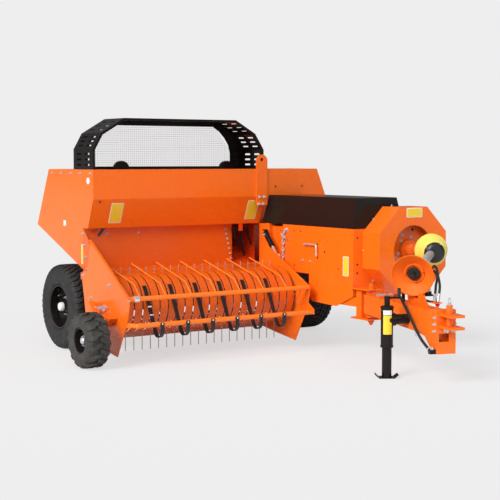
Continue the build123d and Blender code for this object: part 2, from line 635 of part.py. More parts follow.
bracket_left, bracket_right = star_bracket_gap
with BuildPart() as metering_wheel:
    shaft_half = bracket_right + 1.5 * star_sheet
    across(star_y, star_z, (bale_x - shaft_half, bale_x + shaft_half), star_shaft_radius)
    with BuildSketch(Plane.YZ.offset(bale_x - star_sheet / 2)) as star:
        with Locations((star_y, star_z)):
            Circle(star_radius - star_tooth[0] / 2)
            with PolarLocations(star_radius - star_tooth[0] / 2, star_teeth):
                Rectangle(*star_tooth)
    extrude(star.sketch, amount=star_sheet)
finish(metering_wheel, "metering_wheel")

with BuildPart() as metering_bracket:
    for x in (bale_x - bracket_left, bale_x + bracket_right):
        block((x, x + panel), (star_y - 3 * star_shaft_radius, star_y + 3 * star_shaft_radius),
              (tube_z[1], star_z + 2.5 * star_shaft_radius))
        across(star_y, star_z, (x, x + panel), star_shaft_radius + pin_gap, Mode.SUBTRACT)
finish(metering_bracket, "metering_bracket")

# Tension screws and springs on the rear of the chamber
with BuildPart() as tension_frame:
    block(tension_bar_x, (tension_y - tension_bar_half, tension_y + tension_bar_half), tension_bar_z)
    screw_radius, screw_top = tension_screw
    spring_radius, spring_top = tension_spring
    crank_bar, crank_reach, crank_low, crank_high = tension_crank
    for offset in tension_x:
        x = bale_x + offset
        rod((x, tension_y, chamber_z[1]), (x, tension_y, screw_top), screw_radius)
        rod((x, tension_y, tension_bar_z[1]), (x, tension_y, spring_top), spring_radius)
        rod((x, tension_y, crank_low), (x + crank_reach, tension_y, crank_low), crank_bar)
        rod((x + crank_reach, tension_y, crank_low - crank_bar), (x + crank_reach, tension_y, crank_high), crank_bar)
finish(tension_frame, "tension_frame")

# Needle yoke under the chamber
with BuildPart() as needle_yoke:
    yoke_beam = Vector(0, cos(radians(yoke_beam_angle)), sin(radians(yoke_beam_angle))) * needle_radius
    beam_place = (yoke_y + yoke_beam.Y, yoke_z + yoke_beam.Z)
    across(*beam_place, (yoke_arm_x[0], yoke_arm_x[1] + plate), yoke_beam_radius)
    for x in yoke_arm_x:
        with BuildSketch(Plane.YZ.offset(x)) as arm:
            with Locations((yoke_y, yoke_z)):
                Circle(yoke_eye_radius)
            with Locations(beam_place):
                Circle(yoke_foot_radius)
            with Locations(Location((yoke_y + yoke_beam.Y / 2, yoke_z + yoke_beam.Z / 2), yoke_beam_angle)):
                Rectangle(needle_radius, yoke_arm_width)
            with Locations((yoke_y, yoke_z)):
                Circle(yoke_pin[0] + pin_gap, mode=Mode.SUBTRACT)
        extrude(arm.sketch, amount=plate)
    for x in needle_x:
        with BuildSketch(Plane.YZ.offset(x - needle_width / 2)) as needle:
            with BuildLine():
                outer, inner = needle_radius + needle_depth / 2, needle_radius - needle_depth / 2
                sweep_angle = yoke_beam_angle - needle_tip_angle
                CenterArc((yoke_y, yoke_z), outer, needle_tip_angle, sweep_angle)
                CenterArc((yoke_y, yoke_z), inner, needle_tip_angle, sweep_angle)
                for angle in (needle_tip_angle, yoke_beam_angle):
                    ray = Vector(cos(radians(angle)), sin(radians(angle)))
                    Line(Vector(yoke_y, yoke_z) + ray * inner, Vector(yoke_y, yoke_z) + ray * outer)
            make_face()
        extrude(needle.sketch, amount=needle_width)
finish(needle_yoke, "needle_yoke")

# Bale chute at the rear
with BuildPart() as bale_chute:
    chute_x = (bore_x[0] + side_gap, bore_x[1] - side_gap)
    block(chute_x, (chute_y, chute_y + chute_length), (chute_z, chute_z + chute_sheet))
    for x in (chute_x[0], chute_x[1] - chute_sheet):
        rim_y = (chute_y + chute_roll + side_gap / 3, chute_y + chute_length)
        block((x, x + chute_sheet), rim_y, (chute_z - chute_rim, chute_z))
    across(chute_y, chute_z, chute_x, chute_roll)
    across(chute_y, chute_z, tube_x, chute_pin)
finish(bale_chute, "bale_chute")

# Twine box on the left of the chamber, and its lid
hinge_x, hinge_z = box_x[0] - lid_hinge[0], box_z[1] + lid_hinge[1]
with BuildPart() as twine_box:
    block(box_x, box_y, box_z)
    block((box_x[0] + box_wall, box_x[1] - box_wall), (box_y[0] + box_wall, box_y[1] - box_wall),
          (box_z[0] + box_wall, box_z[1]), Mode.SUBTRACT)
    for y in box_arm_y:
        block((chamber_x[1], box_x[0]), (y, y + box_arm), box_arm_z)
    for y, inner in ((box_y[0], box_y[0] + lid_pin_length), (box_y[1], box_y[1] - lid_pin_length)):
        lug_y = sorted((y, y + plate if inner > y else y - plate))
        block((box_x[0] - lid_lug, box_x[0]), lug_y, (box_z[1] - lid_lug_z[0], box_z[1] + lid_lug_z[1]))
        pin_y = sorted((y, inner))
        rod((hinge_x, pin_y[0], hinge_z), (hinge_x, pin_y[1], hinge_z), lid_pin_radius)
finish(twine_box, "twine_box")

with BuildPart() as twine_lid:
    lid_y = (box_y[0] + lid_inset, box_y[1] - lid_inset)
    block((hinge_x, box_x[1] + lid_overlap), lid_y, (hinge_z - lid_sheet / 2, hinge_z + lid_sheet / 2))
    rod((hinge_x, lid_y[0], hinge_z), (hinge_x, lid_y[1], hinge_z), lid_hinge_radius)
    pin_reach = lid_pin_length + side_gap
    for y in ((lid_y[0], box_y[0] + pin_reach), (box_y[1] - pin_reach, lid_y[1])):
        rod((hinge_x, y[0], hinge_z), (hinge_x, y[1], hinge_z), lid_pin_radius + pin_gap, Mode.SUBTRACT)
finish(twine_lid, "twine_lid")

# Flywheel shield and flywheel
shield_front_y = front_box_y[0] - shield_depth
with BuildPart() as flywheel_shield:
    for flats, y, depth, mode in (
        (shield_flats, shield_front_y, shield_depth, Mode.ADD),
        (shield_flats - 2 * thin_panel, shield_front_y + thin_panel, shield_depth - 2 * thin_panel, Mode.SUBTRACT),
    ):
        with BuildSketch(Plane.XZ.offset(-y)) as octagon:
            with Locations((shaft_x, shaft_z)):
                RegularPolygon(flats / 2, 8, major_radius=False, rotation=22.5)
        extrude(octagon.sketch, amount=-depth, mode=mode)
    rod((shaft_x, shield_front_y, shaft_z), (shaft_x, shield_front_y + thin_panel, shaft_z), shield_mouth / 2,
        Mode.SUBTRACT)
    rod((shaft_x, front_box_y[0] - thin_panel, shaft_z), (shaft_x, front_box_y[0], shaft_z), shield_rear_hole,
        Mode.SUBTRACT)
finish(flywheel_shield, "flywheel_shield")

yoke_tip = flywheel_y - joint_y - joint_ball_radius - seat_gap
shaft_bore = gearbox_shaft + pin_gap
yoke_radius = joint_yoke[0][0]
web_outer = flywheel_hub[-1][1]
flywheel_outline = (
    (-flywheel_hub[2][0] + thin_panel, shaft_bore), (flywheel_y * -1 + gearbox_shaft_y + 205, shaft_bore),
    (flywheel_y * -1 + gearbox_shaft_y + 205, 0), (yoke_tip, 0), (yoke_tip, yoke_radius), *joint_yoke[1:],
    *flywheel_hub, (flywheel_depth, flywheel_radius), (0, flywheel_radius), (0, web_outer), (20, web_outer - 10),
    (20, 90), (-flywheel_hub[2][0] + thin_panel, 60),
)
with BuildPart() as flywheel:
    turned(flywheel_outline, Vector(shaft_x, flywheel_y, shaft_z), Vector(0, -1, 0))
finish(flywheel, "flywheel")

# Driveline: cone and collar round the joint, and the telescoping tubes
joint = Vector(shaft_x, joint_y, joint_z)
shaft_dir = (dish_centre - joint).normalized()
cone_dir = Vector(-sin(radians(cone_angle)), -cos(radians(cone_angle)), -cone_drop).normalized()
with BuildPart() as joint_cone:
    cone_inside = [(along, radius - cone_sheet) for along, radius in reversed(cone_ends)]
    turned((*cone_ends, *cone_inside), joint, cone_dir)
finish(joint_cone, "joint_cone")

with BuildPart() as joint_collar:
    turned(((collar_outline[0][0], 0), *collar_outline), joint, cone_dir)
    rod(joint, joint + shaft_dir * outer_tube_length / 2, joint_ball_radius + seat_gap, Mode.SUBTRACT)
finish(joint_collar, "joint_collar")

with BuildPart() as outer_tube:
    rod(joint, joint + shaft_dir * outer_tube_length, joint_ball_radius)
    with Locations(joint):
        Sphere(joint_ball_radius)
    rod(joint + shaft_dir * outer_tube_hollow, joint + shaft_dir * outer_tube_length, outer_tube_bore, Mode.SUBTRACT)
finish(outer_tube, "outer_tube")

with BuildPart() as inner_tube:
    rod(joint + shaft_dir * inner_tube_run[0], joint + shaft_dir * inner_tube_run[1], inner_tube_radius)
finish(inner_tube, "inner_tube")

# Dish at the front of the driveline, its bracket, and the splined input stub
tilt = radians(dish_tilt)
dish_heading = Vector(-sin(radians(dish_angle)), -cos(radians(dish_angle)), 0)
dish_dir = dish_heading * cos(tilt) - Vector(0, 0, sin(tilt))
housing_radius = housing_bore + housing_wall
stub_bore = stub_outline[1][1] + 1
stub_back = stub_outline[0][0]
dish_outline = (
    (stub_back, stub_bore), (stub_back, housing_bore), (-housing_back, housing_bore), (-housing_back, housing_radius),
    (-26, housing_radius), (-20, bowl_radius), (dish_depth - 10, dish_radius), (dish_depth, dish_radius),
    (dish_depth, dish_radius - thin_panel), (dish_depth - 6, dish_radius - 6), (-10, bowl_radius + 2),
    (2, bowl_radius), (2, bowl_radius - 14), (-12, bowl_radius - 18), (-12, stub_bore),
)
with BuildPart() as dish:
    turned(dish_outline, dish_centre, dish_dir)
finish(dish, "dish")

with BuildPart() as input_stub:
    turned(stub_outline, dish_centre, dish_dir)
finish(input_stub, "input_stub")

# Tongue in its own frame
tongue_dir = Vector(-sin(radians(tongue_angle)), -cos(radians(tongue_angle)), 0)
tongue_side = tongue_dir.cross(Vector(0, 0, 1))


def tongue_point(u, v, w=0):
    """A point in the tongue's frame."""
    return tongue_pivot + tongue_dir * u + Vector(0, 0, v) + tongue_side * w


def tongue_plate(points, w, width, mode=Mode.ADD):
    """Extrude an outline of (u, v) points from w across the tongue."""
    with BuildSketch(Plane(origin=tongue_point(0, 0, w), x_dir=tongue_dir, z_dir=tongue_side)) as profile:
        with BuildLine():
            Polyline(*points, close=True)
        make_face()
    extrude(profile.sketch, amount=width, mode=mode)


def tongue_block(u, v, w, mode=Mode.ADD):
    """A block in the tongue's frame, each axis given as (low, high)."""
    corners = ((u[0], v[0]), (u[1], v[0]), (u[1], v[1]), (u[0], v[1]))
    tongue_plate(corners, w[0], w[1] - w[0], mode)


with BuildPart() as dish_bracket:
    web_foot, web_top = dish_web_half
    drop = tongue_top_z - dish_centre.Z
    web_plane = Plane(origin=dish_centre - dish_heading * housing_back, x_dir=Vector(0, 0, 1).cross(dish_heading),
                      z_dir=dish_heading)
    with BuildSketch(web_plane) as web:
        with BuildLine():
            Polyline((-web_foot, drop), (web_foot, drop), (web_top, 0), (-web_top, 0), close=True)
        make_face()
    extrude(web.sketch, amount=dish_web)
    tongue_plate(dish_gusset, dish_gusset_w - plate / 2, plate)
    rod(dish_centre - dish_dir * 2 * housing_back, dish_centre, housing_radius + seat_gap, Mode.SUBTRACT)
finish(dish_bracket, "dish_bracket")

half = tongue_half_width
pivot_run = (pivot_plate_z[0] + plate + side_gap, pivot_plate_z[1] - side_gap)
with BuildPart() as tongue:
    pivot_end = tongue_belly[-1][0]
    tongue_outline = ((pivot_end, tongue_top_z), (tongue_shoulder, tongue_top_z), (head_start, head_top_z), *tongue_belly)
    tongue_plate(tongue_outline, -half, 2 * half)
    rod(tongue_point(0, pivot_run[0]), tongue_point(0, pivot_run[1]), pivot_tube_radius)
    rod(tongue_point(0, pivot_run[0]), tongue_point(0, pivot_run[1]), pivot_pin_radius + pin_gap, Mode.SUBTRACT)
finish(tongue, "tongue")

with BuildPart() as hitch_head:
    tongue_block((head_start, head_front), (head_foot_z, head_top_z), (-half, half))
    tongue_block((head_start, head_front - head_wall), (head_foot_z + head_wall, head_top_z - head_wall),
                 (-half + head_wall, half - head_wall), Mode.SUBTRACT)
    tongue_block((head_front - head_wall, head_front), head_opening_z, head_opening_w, Mode.SUBTRACT)
    for z in clevis_z:
        tongue_block((head_front, head_front + clevis_reach), (z, z + clevis_plate),
                     (-clevis_width / 2, clevis_width / 2))
    post_u, bore_u = head_front + hitch_post, head_front + hitch_bore
    rod(tongue_point(post_u, clevis_z[0]), tongue_point(post_u, hitch_post_top), hitch_post_radius)
    rod(tongue_point(bore_u, clevis_z[0]), tongue_point(bore_u, clevis_z[1] + clevis_plate), hitch_bore_radius,
        Mode.SUBTRACT)
finish(hitch_head, "hitch_head")

# Frame under the front box that carries the tongue's pivot
with BuildPart() as hitch_frame:
    block(hitch_beam_x, hitch_beam_y, hitch_beam_z)
    block(hitch_block_x, hitch_block_y, (pivot_plate_z[0] + plate, pivot_plate_z[1]))
    for z in pivot_plate_z:
        block(pivot_plate_x, (pivot_plate_front, front_box_y[0]), (z, z + plate))
    rod(tongue_point(0, pivot_plate_z[0] - pivot_pin_overhang),
        tongue_point(0, pivot_plate_z[1] + plate + pivot_pin_overhang), pivot_pin_radius)
finish(hitch_frame, "hitch_frame")

# Jack: swivel mount, tube with its crank, and the leg with its foot
jack = Vector(jack_x, jack_y, 0)
jack_u = (jack - tongue_pivot).dot(tongue_dir)
jack_w = (jack - tongue_pivot).dot(tongue_side)
flange_w = jack_w - jack_tube_radius - jack_flange_depth
with BuildPart() as jack_mount:
    mount_w = flange_w - side_gap
    rod(tongue_point(jack_u, jack_pivot_z, half), tongue_point(jack_u, jack_pivot_z, mount_w), jack_pivot_boss)
    rod(tongue_point(jack_u, jack_pivot_z, mount_w), tongue_point(jack_u, jack_pivot_z, flange_w + jack_flange_depth - 2),
        jack_pivot_radius)
finish(jack_mount, "jack_mount")

with BuildPart() as jack_tube:
    rod((jack_x, jack_y, jack_tube_z[0]), (jack_x, jack_y, jack_tube_z[1]), jack_tube_radius)
    rod(tongue_point(jack_u, jack_pivot_z, flange_w), tongue_point(jack_u, jack_pivot_z, jack_w), jack_flange)
    rod(tongue_point(jack_u, jack_pivot_z, flange_w), tongue_point(jack_u, jack_pivot_z, flange_w + jack_flange_depth),
        jack_pivot_radius + pin_gap, Mode.SUBTRACT)
    rod((jack_x, jack_y, jack_tube_z[0]), (jack_x, jack_y, jack_tube_z[1] - jack_roof), jack_leg_radius + jack_wall_gap,
        Mode.SUBTRACT)
    rod((jack_x, jack_y, jack_tube_z[1]), (jack_x, jack_y, jack_neck_z), jack_neck_radius)
    crank_end = jack + Vector(*crank_arm, crank_z[0])
    rod((jack_x, jack_y, crank_z[0]), crank_end, crank_radius)
    rod(crank_end - Vector(0, 0, crank_radius), (crank_end.X, crank_end.Y, crank_z[1]), crank_radius)
finish(jack_tube, "jack_tube")

with BuildPart() as jack_leg:
    rod((jack_x, jack_y, jack_leg_z[0]), (jack_x, jack_y, jack_leg_z[1]), jack_leg_radius)
    foot_plane = Plane(origin=jack, x_dir=Vector(0, 0, 1).cross(jack_foot_dir), z_dir=jack_foot_dir)
    with BuildSketch(foot_plane.offset(-jack_foot_width / 2)) as foot:
        with BuildLine():
            Polyline(*jack_foot, close=True)
        make_face()
    extrude(foot.sketch, amount=jack_foot_width)
finish(jack_leg, "jack_leg")

# Pickup side plates, hinged on the cross tube
for side, x, nose, apex in (
    ("right", pickup_x[0], right_nose, right_apex),
    ("left", pickup_x[1], left_nose, left_apex),
):
    with BuildPart() as pickup_side:
        side_face((*nose, *plate_rear, apex), x, pickup_plate)
        for y, z, radius in ((reel_y, reel_z, reel_pin_radius), (windguard_y, windguard_z, windguard_pin)):
            across(y, z, (x, x + pickup_plate), radius + pin_gap, Mode.SUBTRACT)
        if side == "left":
            across(*lift_foot, (x + pickup_plate, chamber_x[0] - 15), lift_foot_pin)
            with BuildSketch(Plane.YZ.offset(x - pickup_plate)) as gusset:
                with BuildLine():
                    Polyline(*gusset_outline, close=True)
                make_face()
                for start, end in gusset_slots:
                    centre = (Vector(*start) + Vector(*end)) / 2
                    SlotCenterPoint(centre, Vector(*end), 2 * gusset_slot_radius, mode=Mode.SUBTRACT)
            extrude(gusset.sketch, amount=pickup_plate)
            across(windguard_y, windguard_z, (x - pickup_plate, x), windguard_radius + side_gap, Mode.SUBTRACT)
        else:
            edge = sheet_outline((nose[0], apex), pickup_plate)
            side_face(edge, x - plate_flange, plate_flange)
    finish(pickup_side, f"pickup_plate_{side}")

# Cross tubes of the pickup
inner_x = (pickup_x[0] + pickup_plate, pickup_x[1])
with BuildPart() as pickup_tubes:
    across(pivot_y, pivot_z, inner_x, pivot_radius)
    across(lower_tube_y, lower_tube_z, inner_x, lower_tube_radius)
    bend = Vector(inner_x[0] + front_tube_bend, front_tube_y, front_tube_z)
    seat_x = inner_x[0] + plate
    across(front_tube_y, front_tube_z, (bend.X, inner_x[1]), front_tube_radius)
    rod(bend, (seat_x + 2, front_tube_seat[0] + front_tube_radius, front_tube_z), front_tube_radius)
    block((inner_x[0], seat_x), front_tube_seat, (front_tube_z - front_tube_radius - 2, front_tube_z + front_tube_radius + 2))
    with Locations(bend):
        Sphere(front_tube_radius)
finish(pickup_tubes, "pickup_tubes")

# Stripper bands, one between each two columns of tines
tine_columns = int((pickup_x[1] - last_tine_gap - first_tine_x) / tine_pitch) + 1


def tangent_angle(y, z, radius, turn):
    """Angle on a circle about the bands' centre at which the line from (y, z) touches it."""
    reach = hypot(y - band_y, z - band_z)
    return degrees(atan2(z - band_z, y - band_y)) + turn * degrees(acos(radius / reach))


def on_circle(y, z, radius, angle):
    """A point (y, z) on a circle about a centre."""
    return (y + radius * cos(radians(angle)), z + radius * sin(radians(angle)))


band_radius = stripper_radius - stripper_sheet / 2
band_seat = stripper_sheet / 2 - band_lap
band_low = (lower_tube_y - side_gap, lower_tube_z - lower_tube_radius - band_seat)
band_high = (pivot_y - side_gap, pivot_z + pivot_radius + band_seat)
low_angle = tangent_angle(*band_low, band_radius, -1)
high_angle = tangent_angle(*band_high, band_radius, 1)
first_band_x = first_tine_x + (tine_pitch - stripper_width) / 2
with BuildPart() as strippers:
    band_planes = [Plane.YZ.offset(first_band_x + tine_pitch * band) for band in range(tine_columns - 1)]
    with BuildSketch(*band_planes) as bands:
        with BuildLine() as band_line:
            Line(band_low, on_circle(band_y, band_z, band_radius, low_angle))
            CenterArc((band_y, band_z), band_radius, low_angle, high_angle - 360 - low_angle)
            Line(on_circle(band_y, band_z, band_radius, high_angle), band_high)
        trace(line_width=stripper_sheet)
    extrude(amount=stripper_width)
finish(strippers, "strippers")

# Rubber straps looping from the front tube up over every third band
strap_radius = stripper_radius + seat_gap + strap_thickness / 2
strap_foot = Vector(front_tube_y - front_tube_radius - strap_thickness / 2 - seat_gap, front_tube_z)
loop_centre = strap_foot + Vector(strap_loop, -strap_drop)
to_bands = Vector(band_y, band_z) - loop_centre
lean = degrees(atan2(to_bands.Y, to_bands.X)) + degrees(asin((strap_loop + strap_radius) / to_bands.length))
with BuildPart() as straps:
    strap_planes = [
        Plane.YZ.offset(first_band_x + tine_pitch * band + (stripper_width - strap_width) / 2)
        for band in range(2, tine_columns - 3, rod_step)
    ]
    with BuildSketch(*strap_planes) as strap_faces:
        with BuildLine():
            Line(strap_foot + Vector(0, strap_rise), strap_foot - Vector(0, strap_drop))
            CenterArc(loop_centre, strap_loop, 180, lean + 90)
            Line(loop_centre + Vector(strap_loop, 0).rotate(Axis.Z, lean - 90),
                 on_circle(band_y, band_z, strap_radius, lean + 90))
            CenterArc((band_y, band_z), strap_radius, lean + 90, strap_end_angle - lean - 90)
        trace(line_width=strap_thickness)
    extrude(amount=strap_width)
finish(straps, "straps")

# Reel of spring tines, each row turned by its cam to its own direction
with BuildPart() as reel:
    bar_x = (inner_x[0] + reel_end_gap[0], inner_x[1] - reel_end_gap[1])
    across(reel_y, reel_z, (inner_x[0] + side_gap, inner_x[1] - side_gap), reel_shaft_radius)
    across(reel_y, reel_z, (pickup_x[0], pickup_x[1] + pickup_plate), reel_pin_radius)
    for x in (bar_x[0], *reel_disc_x, bar_x[1] - reel_disc):
        across(reel_y, reel_z, (x, x + reel_disc), tine_bar_circle + reel_disc_margin)
    tine_places = [(first_tine_x + tine_pitch * column, 0) for column in range(tine_columns)]
    for bar_angle, direction in tine_rows:
        tine_bar = on_circle(reel_y, reel_z, tine_bar_circle, bar_angle)
        across(*tine_bar, bar_x, tine_bar_radius)
        out = Vector(0, cos(radians(direction)), sin(radians(direction)))
        with BuildSketch(Plane(origin=(0, *tine_bar), x_dir=(1, 0, 0), z_dir=out)) as tines:
            with Locations(*tine_places):
                Circle(tine_radius)
        extrude(tines.sketch, amount=tine_length)
finish(reel, "reel")

# Windguard: a tube with rods trailing over every third band
with BuildPart() as windguard:
    across(windguard_y, windguard_z, (inner_x[0] + side_gap, inner_x[1] - side_gap), windguard_radius)
    across(windguard_y, windguard_z, (pickup_x[0], pickup_x[1] + pickup_plate), windguard_pin)
    for band in range(0, tine_columns - 3, rod_step):
        x = first_band_x + stripper_width / 2 + tine_pitch * band
        rod((x, windguard_y, windguard_z), (x, *rod_knee), rod_radius)
        rod((x, *rod_knee), (x, *rod_tip), rod_radius)
        with Locations((x, *rod_knee)):
            Sphere(rod_radius)
finish(windguard, "windguard")

# Gauge wheel, its arm and the box that carries the arm's tube on the right plate
gauge_hub = Vector(gauge_x, gauge_y, gauge_z)
with BuildPart() as gauge_arm:
    across(gauge_y, gauge_z, (gauge_x - gauge_spindle * 1.5, arm_x[1]), gauge_spindle)
    arm_run = Vector(0, arm_top[0] - gauge_y, arm_top[1] - gauge_z)
    with BuildSketch(Plane(origin=(sum(arm_x) / 2, gauge_y, gauge_z), x_dir=(1, 0, 0), z_dir=arm_run)) as arm_section:
        Rectangle(arm_x[1] - arm_x[0], arm_depth)
    extrude(arm_section.sketch, amount=arm_run.length + arm_overrun)
    across(*arm_top, (arm_x[1], pickup_x[0]), arm_tube_radius)
    side_face(arm_box, arm_x[1], pickup_x[0] - arm_x[1])
finish(gauge_arm, "gauge_arm")

gauge_tread = gauge_tyre_radius - gauge_lug_height
gauge_half = gauge_tyre_width / 2
gauge_side = [(gauge_half - inset, gauge_rim_radius + rise) for inset, rise in gauge_profile]
gauge_outline = gauge_side + [(-along, radius) for along, radius in reversed(gauge_side)]
with BuildPart() as gauge_tyre:
    turned(gauge_outline, gauge_hub, Vector(-1, 0, 0))
    for side in (-1, 1):
        for lug in range(gauge_lugs):
            angle = 360 * (lug + side / 4) / gauge_lugs
            out = Vector(0, cos(radians(angle)), sin(radians(angle)))
            lug_plane = Plane(origin=gauge_hub + out * (gauge_tread - gauge_lug_sink), x_dir=(1, 0, 0), z_dir=out)
            with BuildSketch(lug_plane) as lugs:
                with Locations((side * gauge_lug_x, 0)):
                    Rectangle(*gauge_lug_size)
            extrude(lugs.sketch, amount=gauge_lug_height + gauge_lug_sink - pin_gap * 2)
finish(gauge_tyre, "gauge_tyre")

gauge_rim_half = gauge_rim_width / 2
gauge_inner = gauge_rim_radius - gauge_rim_sheet
gauge_bore = gauge_spindle + pin_gap
hub_back, hub_front = gauge_hub_x
with BuildPart() as gauge_rim:
    turned(((-gauge_rim_half, gauge_rim_radius), (gauge_rim_half, gauge_rim_radius), (gauge_rim_half, gauge_inner),
            (30, gauge_inner - 5), (18, gauge_hub_radius + 14), (18, gauge_hub_radius + 4),
            (hub_front - 4, gauge_hub_radius), (hub_front, 0), (hub_front - 14, 0), (hub_front - 14, gauge_bore),
            (hub_back, gauge_bore), (hub_back, gauge_hub_radius), (4, gauge_hub_radius + 4),
            (4, gauge_hub_radius + 24), (14, gauge_inner), (-gauge_rim_half, gauge_inner)),
           gauge_hub, Vector(-1, 0, 0))
finish(gauge_rim, "gauge_rim")

# Lift cylinder: pin on the chamber, barrel and rod
lift_head = Vector(lift_x, *lift_top)
lift_eye = Vector(lift_x, *lift_foot)
lift_dir = (lift_eye - lift_head).normalized()
lift_length = (lift_eye - lift_head).length
barrel_half = lift_barrel_radius * 3 / 4
with BuildPart() as lift_pin:
    across(*lift_top, (lift_x - barrel_half - plate, chamber_x[0]), lift_pin_radius)
    across(*lift_top, (lift_x + barrel_half + plate + 1, chamber_x[0]), lift_pin_collar)
finish(lift_pin, "lift_pin")

with BuildPart() as lift_barrel:
    barrel_end = lift_head + lift_dir * lift_barrel_length
    rod(lift_head, barrel_end, lift_barrel_radius)
    across(*lift_top, (lift_x - barrel_half, lift_x + barrel_half), lift_barrel_radius)
    across(*lift_top, (lift_x - lift_barrel_radius - 1, lift_x + lift_barrel_radius + 1), lift_pin_radius + pin_gap,
           Mode.SUBTRACT)
    rod(lift_head + lift_dir * lift_barrel_radius * 1.25, barrel_end, lift_rod_radius + pin_gap, Mode.SUBTRACT)
finish(lift_barrel, "lift_barrel")

with BuildPart() as lift_rod:
    rod(lift_head + lift_dir * lift_rod_start, lift_head + lift_dir * (lift_length - lift_rod_gap), lift_rod_radius)
    eye_x = (lift_x - lift_eye_half, lift_x + lift_eye_half)
    across(*lift_foot, eye_x, lift_eye_radius)
    across(*lift_foot, eye_x, lift_eye_bore, Mode.SUBTRACT)
finish(lift_rod, "lift_rod")

# Hoses: straight runs joined by tangent arcs, each arc as large as its two runs allow
hose_ends = {}
for name, (diameter, route) in hose_routes.items():
    points = [tongue_point(*point) for point in route]
    runs = [after - before for before, after in zip(points, points[1:])]
    radii = []
    for first, second in zip(runs, runs[1:]):
        half_turn = radians(first.get_angle(second)) / 2
        radii.append(0.45 * min(first.length, second.length) / tan(half_turn))
    with BuildPart() as hose:
        with BuildLine() as hose_line:
            FilletPolyline(*points, radius=radii)
        with BuildSketch(Plane(origin=points[0], z_dir=runs[0])) as hose_section:
            Circle(diameter / 2)
        sweep(hose_section.sketch, path=hose_line.wire())
    length = hose_line.wire().length
    share = hose.part.volume / (length * pi * diameter ** 2 / 4)
    print(name, f"{length:.0f} mm, radii {min(radii):.0f} to {max(radii):.0f}, volume share {share:.4f}")
    hose_ends[name] = (points[0], runs[0].normalized(), points[-1], runs[-1].normalized())
    finish(hose, name)

# Couplers in line with the hoses' ends, their cap and the plate that holds them on the tongue
cap = tongue_point(*cap_place)
with BuildPart() as hose_couplers:
    for name in ("hose_right", "hose_left", "hose_short"):
        end, direction = hose_ends[name][2:]
        rod(end, end + direction * coupler_length, coupler_radius)
    tongue_block(*coupler_plate)
    rod((cap.X, cap.Y, tongue_top_z), (cap.X, cap.Y, coupler_plate[1][0]), cap_radius / 2)
    with Locations(cap):
        Sphere(cap_radius)
finish(hose_couplers, "hose_couplers")

# Guides that the hoses come out of, their brackets, and the block that the long hose goes into
with BuildPart() as hose_guides:
    for name in hose_routes:
        start, direction = hose_ends[name][:2]
        reach = pair_guide_length if name in ("hose_right", "hose_left") else guide_length
        rod(start - direction * reach, start, guide_radius)
    end, direction = hose_ends["hose_long"][2:]
    rod(end, end + direction * guide_length, guide_radius)
    for guide_block in guide_blocks:
        tongue_block(*guide_block)
finish(hose_guides, "hose_guides")
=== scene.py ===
"""The looks of a towed square baler: finishes for the fixed frame, and the small pieces that dress it."""

import math

import bmesh
import bpy
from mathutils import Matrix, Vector


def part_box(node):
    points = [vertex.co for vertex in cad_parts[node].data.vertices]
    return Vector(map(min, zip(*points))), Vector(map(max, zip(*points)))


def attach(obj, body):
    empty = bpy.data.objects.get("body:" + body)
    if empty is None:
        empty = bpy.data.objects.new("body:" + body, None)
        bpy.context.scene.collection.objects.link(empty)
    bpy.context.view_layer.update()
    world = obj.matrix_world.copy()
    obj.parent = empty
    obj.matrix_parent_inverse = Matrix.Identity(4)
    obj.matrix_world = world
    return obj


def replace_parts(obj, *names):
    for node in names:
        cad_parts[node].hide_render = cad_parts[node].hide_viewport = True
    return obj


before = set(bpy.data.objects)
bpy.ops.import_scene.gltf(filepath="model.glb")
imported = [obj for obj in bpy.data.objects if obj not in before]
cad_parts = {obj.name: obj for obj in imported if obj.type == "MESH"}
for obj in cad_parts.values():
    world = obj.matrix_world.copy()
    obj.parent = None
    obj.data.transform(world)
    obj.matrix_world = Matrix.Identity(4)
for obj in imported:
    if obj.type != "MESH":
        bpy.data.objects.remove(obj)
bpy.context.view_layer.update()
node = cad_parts

X, Y, Z = Vector((1, 0, 0)), Vector((0, 1, 0)), Vector((0, 0, 1))
TURN = 2 * math.pi

# Places on the frame that several pieces share, in metres
CHAMBER_SIDE_X = 0.665
HOUSING_END_X = -1.136
HOUSING_FRONT_Y = 0.310
DECK_WALL_Y = 0.489
BOX_FRONT_Y = -1.02
PICKUP_SIDE_X = -1.240
REEL = Vector((0, -0.100, 0.455))
BANDS = Vector((0, -0.100, 0.478))
FIRST_TINE_X, TINE_PITCH, TINE_COLUMNS = -1.1705, 0.081, 22
BAND_WIDTH = 0.069
FLYWHEEL_HUB = Vector((1.140, -1.175, 0.915))
SHIELD_CENTRE, SHIELD_HALF = Vector((1.140, -1.035, 0.915)), 0.3735
JOINT = Vector((1.140, -1.500, 0.920))
DISH = Vector((0.530, -1.968, 0.801))
JACK = Vector((0.235, -1.995, 0))


# Materials

def new_tree(name):
    """A material with an empty node tree and its Principled shader."""
    material = bpy.data.materials.new(name)
    material.use_nodes = True
    tree = material.node_tree
    return material, tree, tree.nodes["Principled BSDF"]


def add(tree, kind, **settings):
    """A node with its attributes set, and its inputs set or linked where the name is an input's."""
    made = tree.nodes.new(kind)
    for key, value in settings.items():
        label = key.replace("_", " ").title()
        if label not in made.inputs:
            setattr(made, key, value)
        elif isinstance(value, bpy.types.NodeSocket):
            tree.links.new(value, made.inputs[label])
        else:
            made.inputs[label].default_value = value
    return made


def noise(tree, scale, detail=3, roughness=0.5, stretch=(1, 1, 1)):
    """A noise value from 0 to 1 in the object's own coordinates, with so many lumps to the metre."""
    place = add(tree, "ShaderNodeTexCoord").outputs["Object"]
    mapping = add(tree, "ShaderNodeMapping", vector=place, scale=stretch)
    texture = add(tree, "ShaderNodeTexNoise", vector=mapping.outputs[0], scale=scale, detail=detail,
                  roughness=roughness)
    return texture.outputs[0]


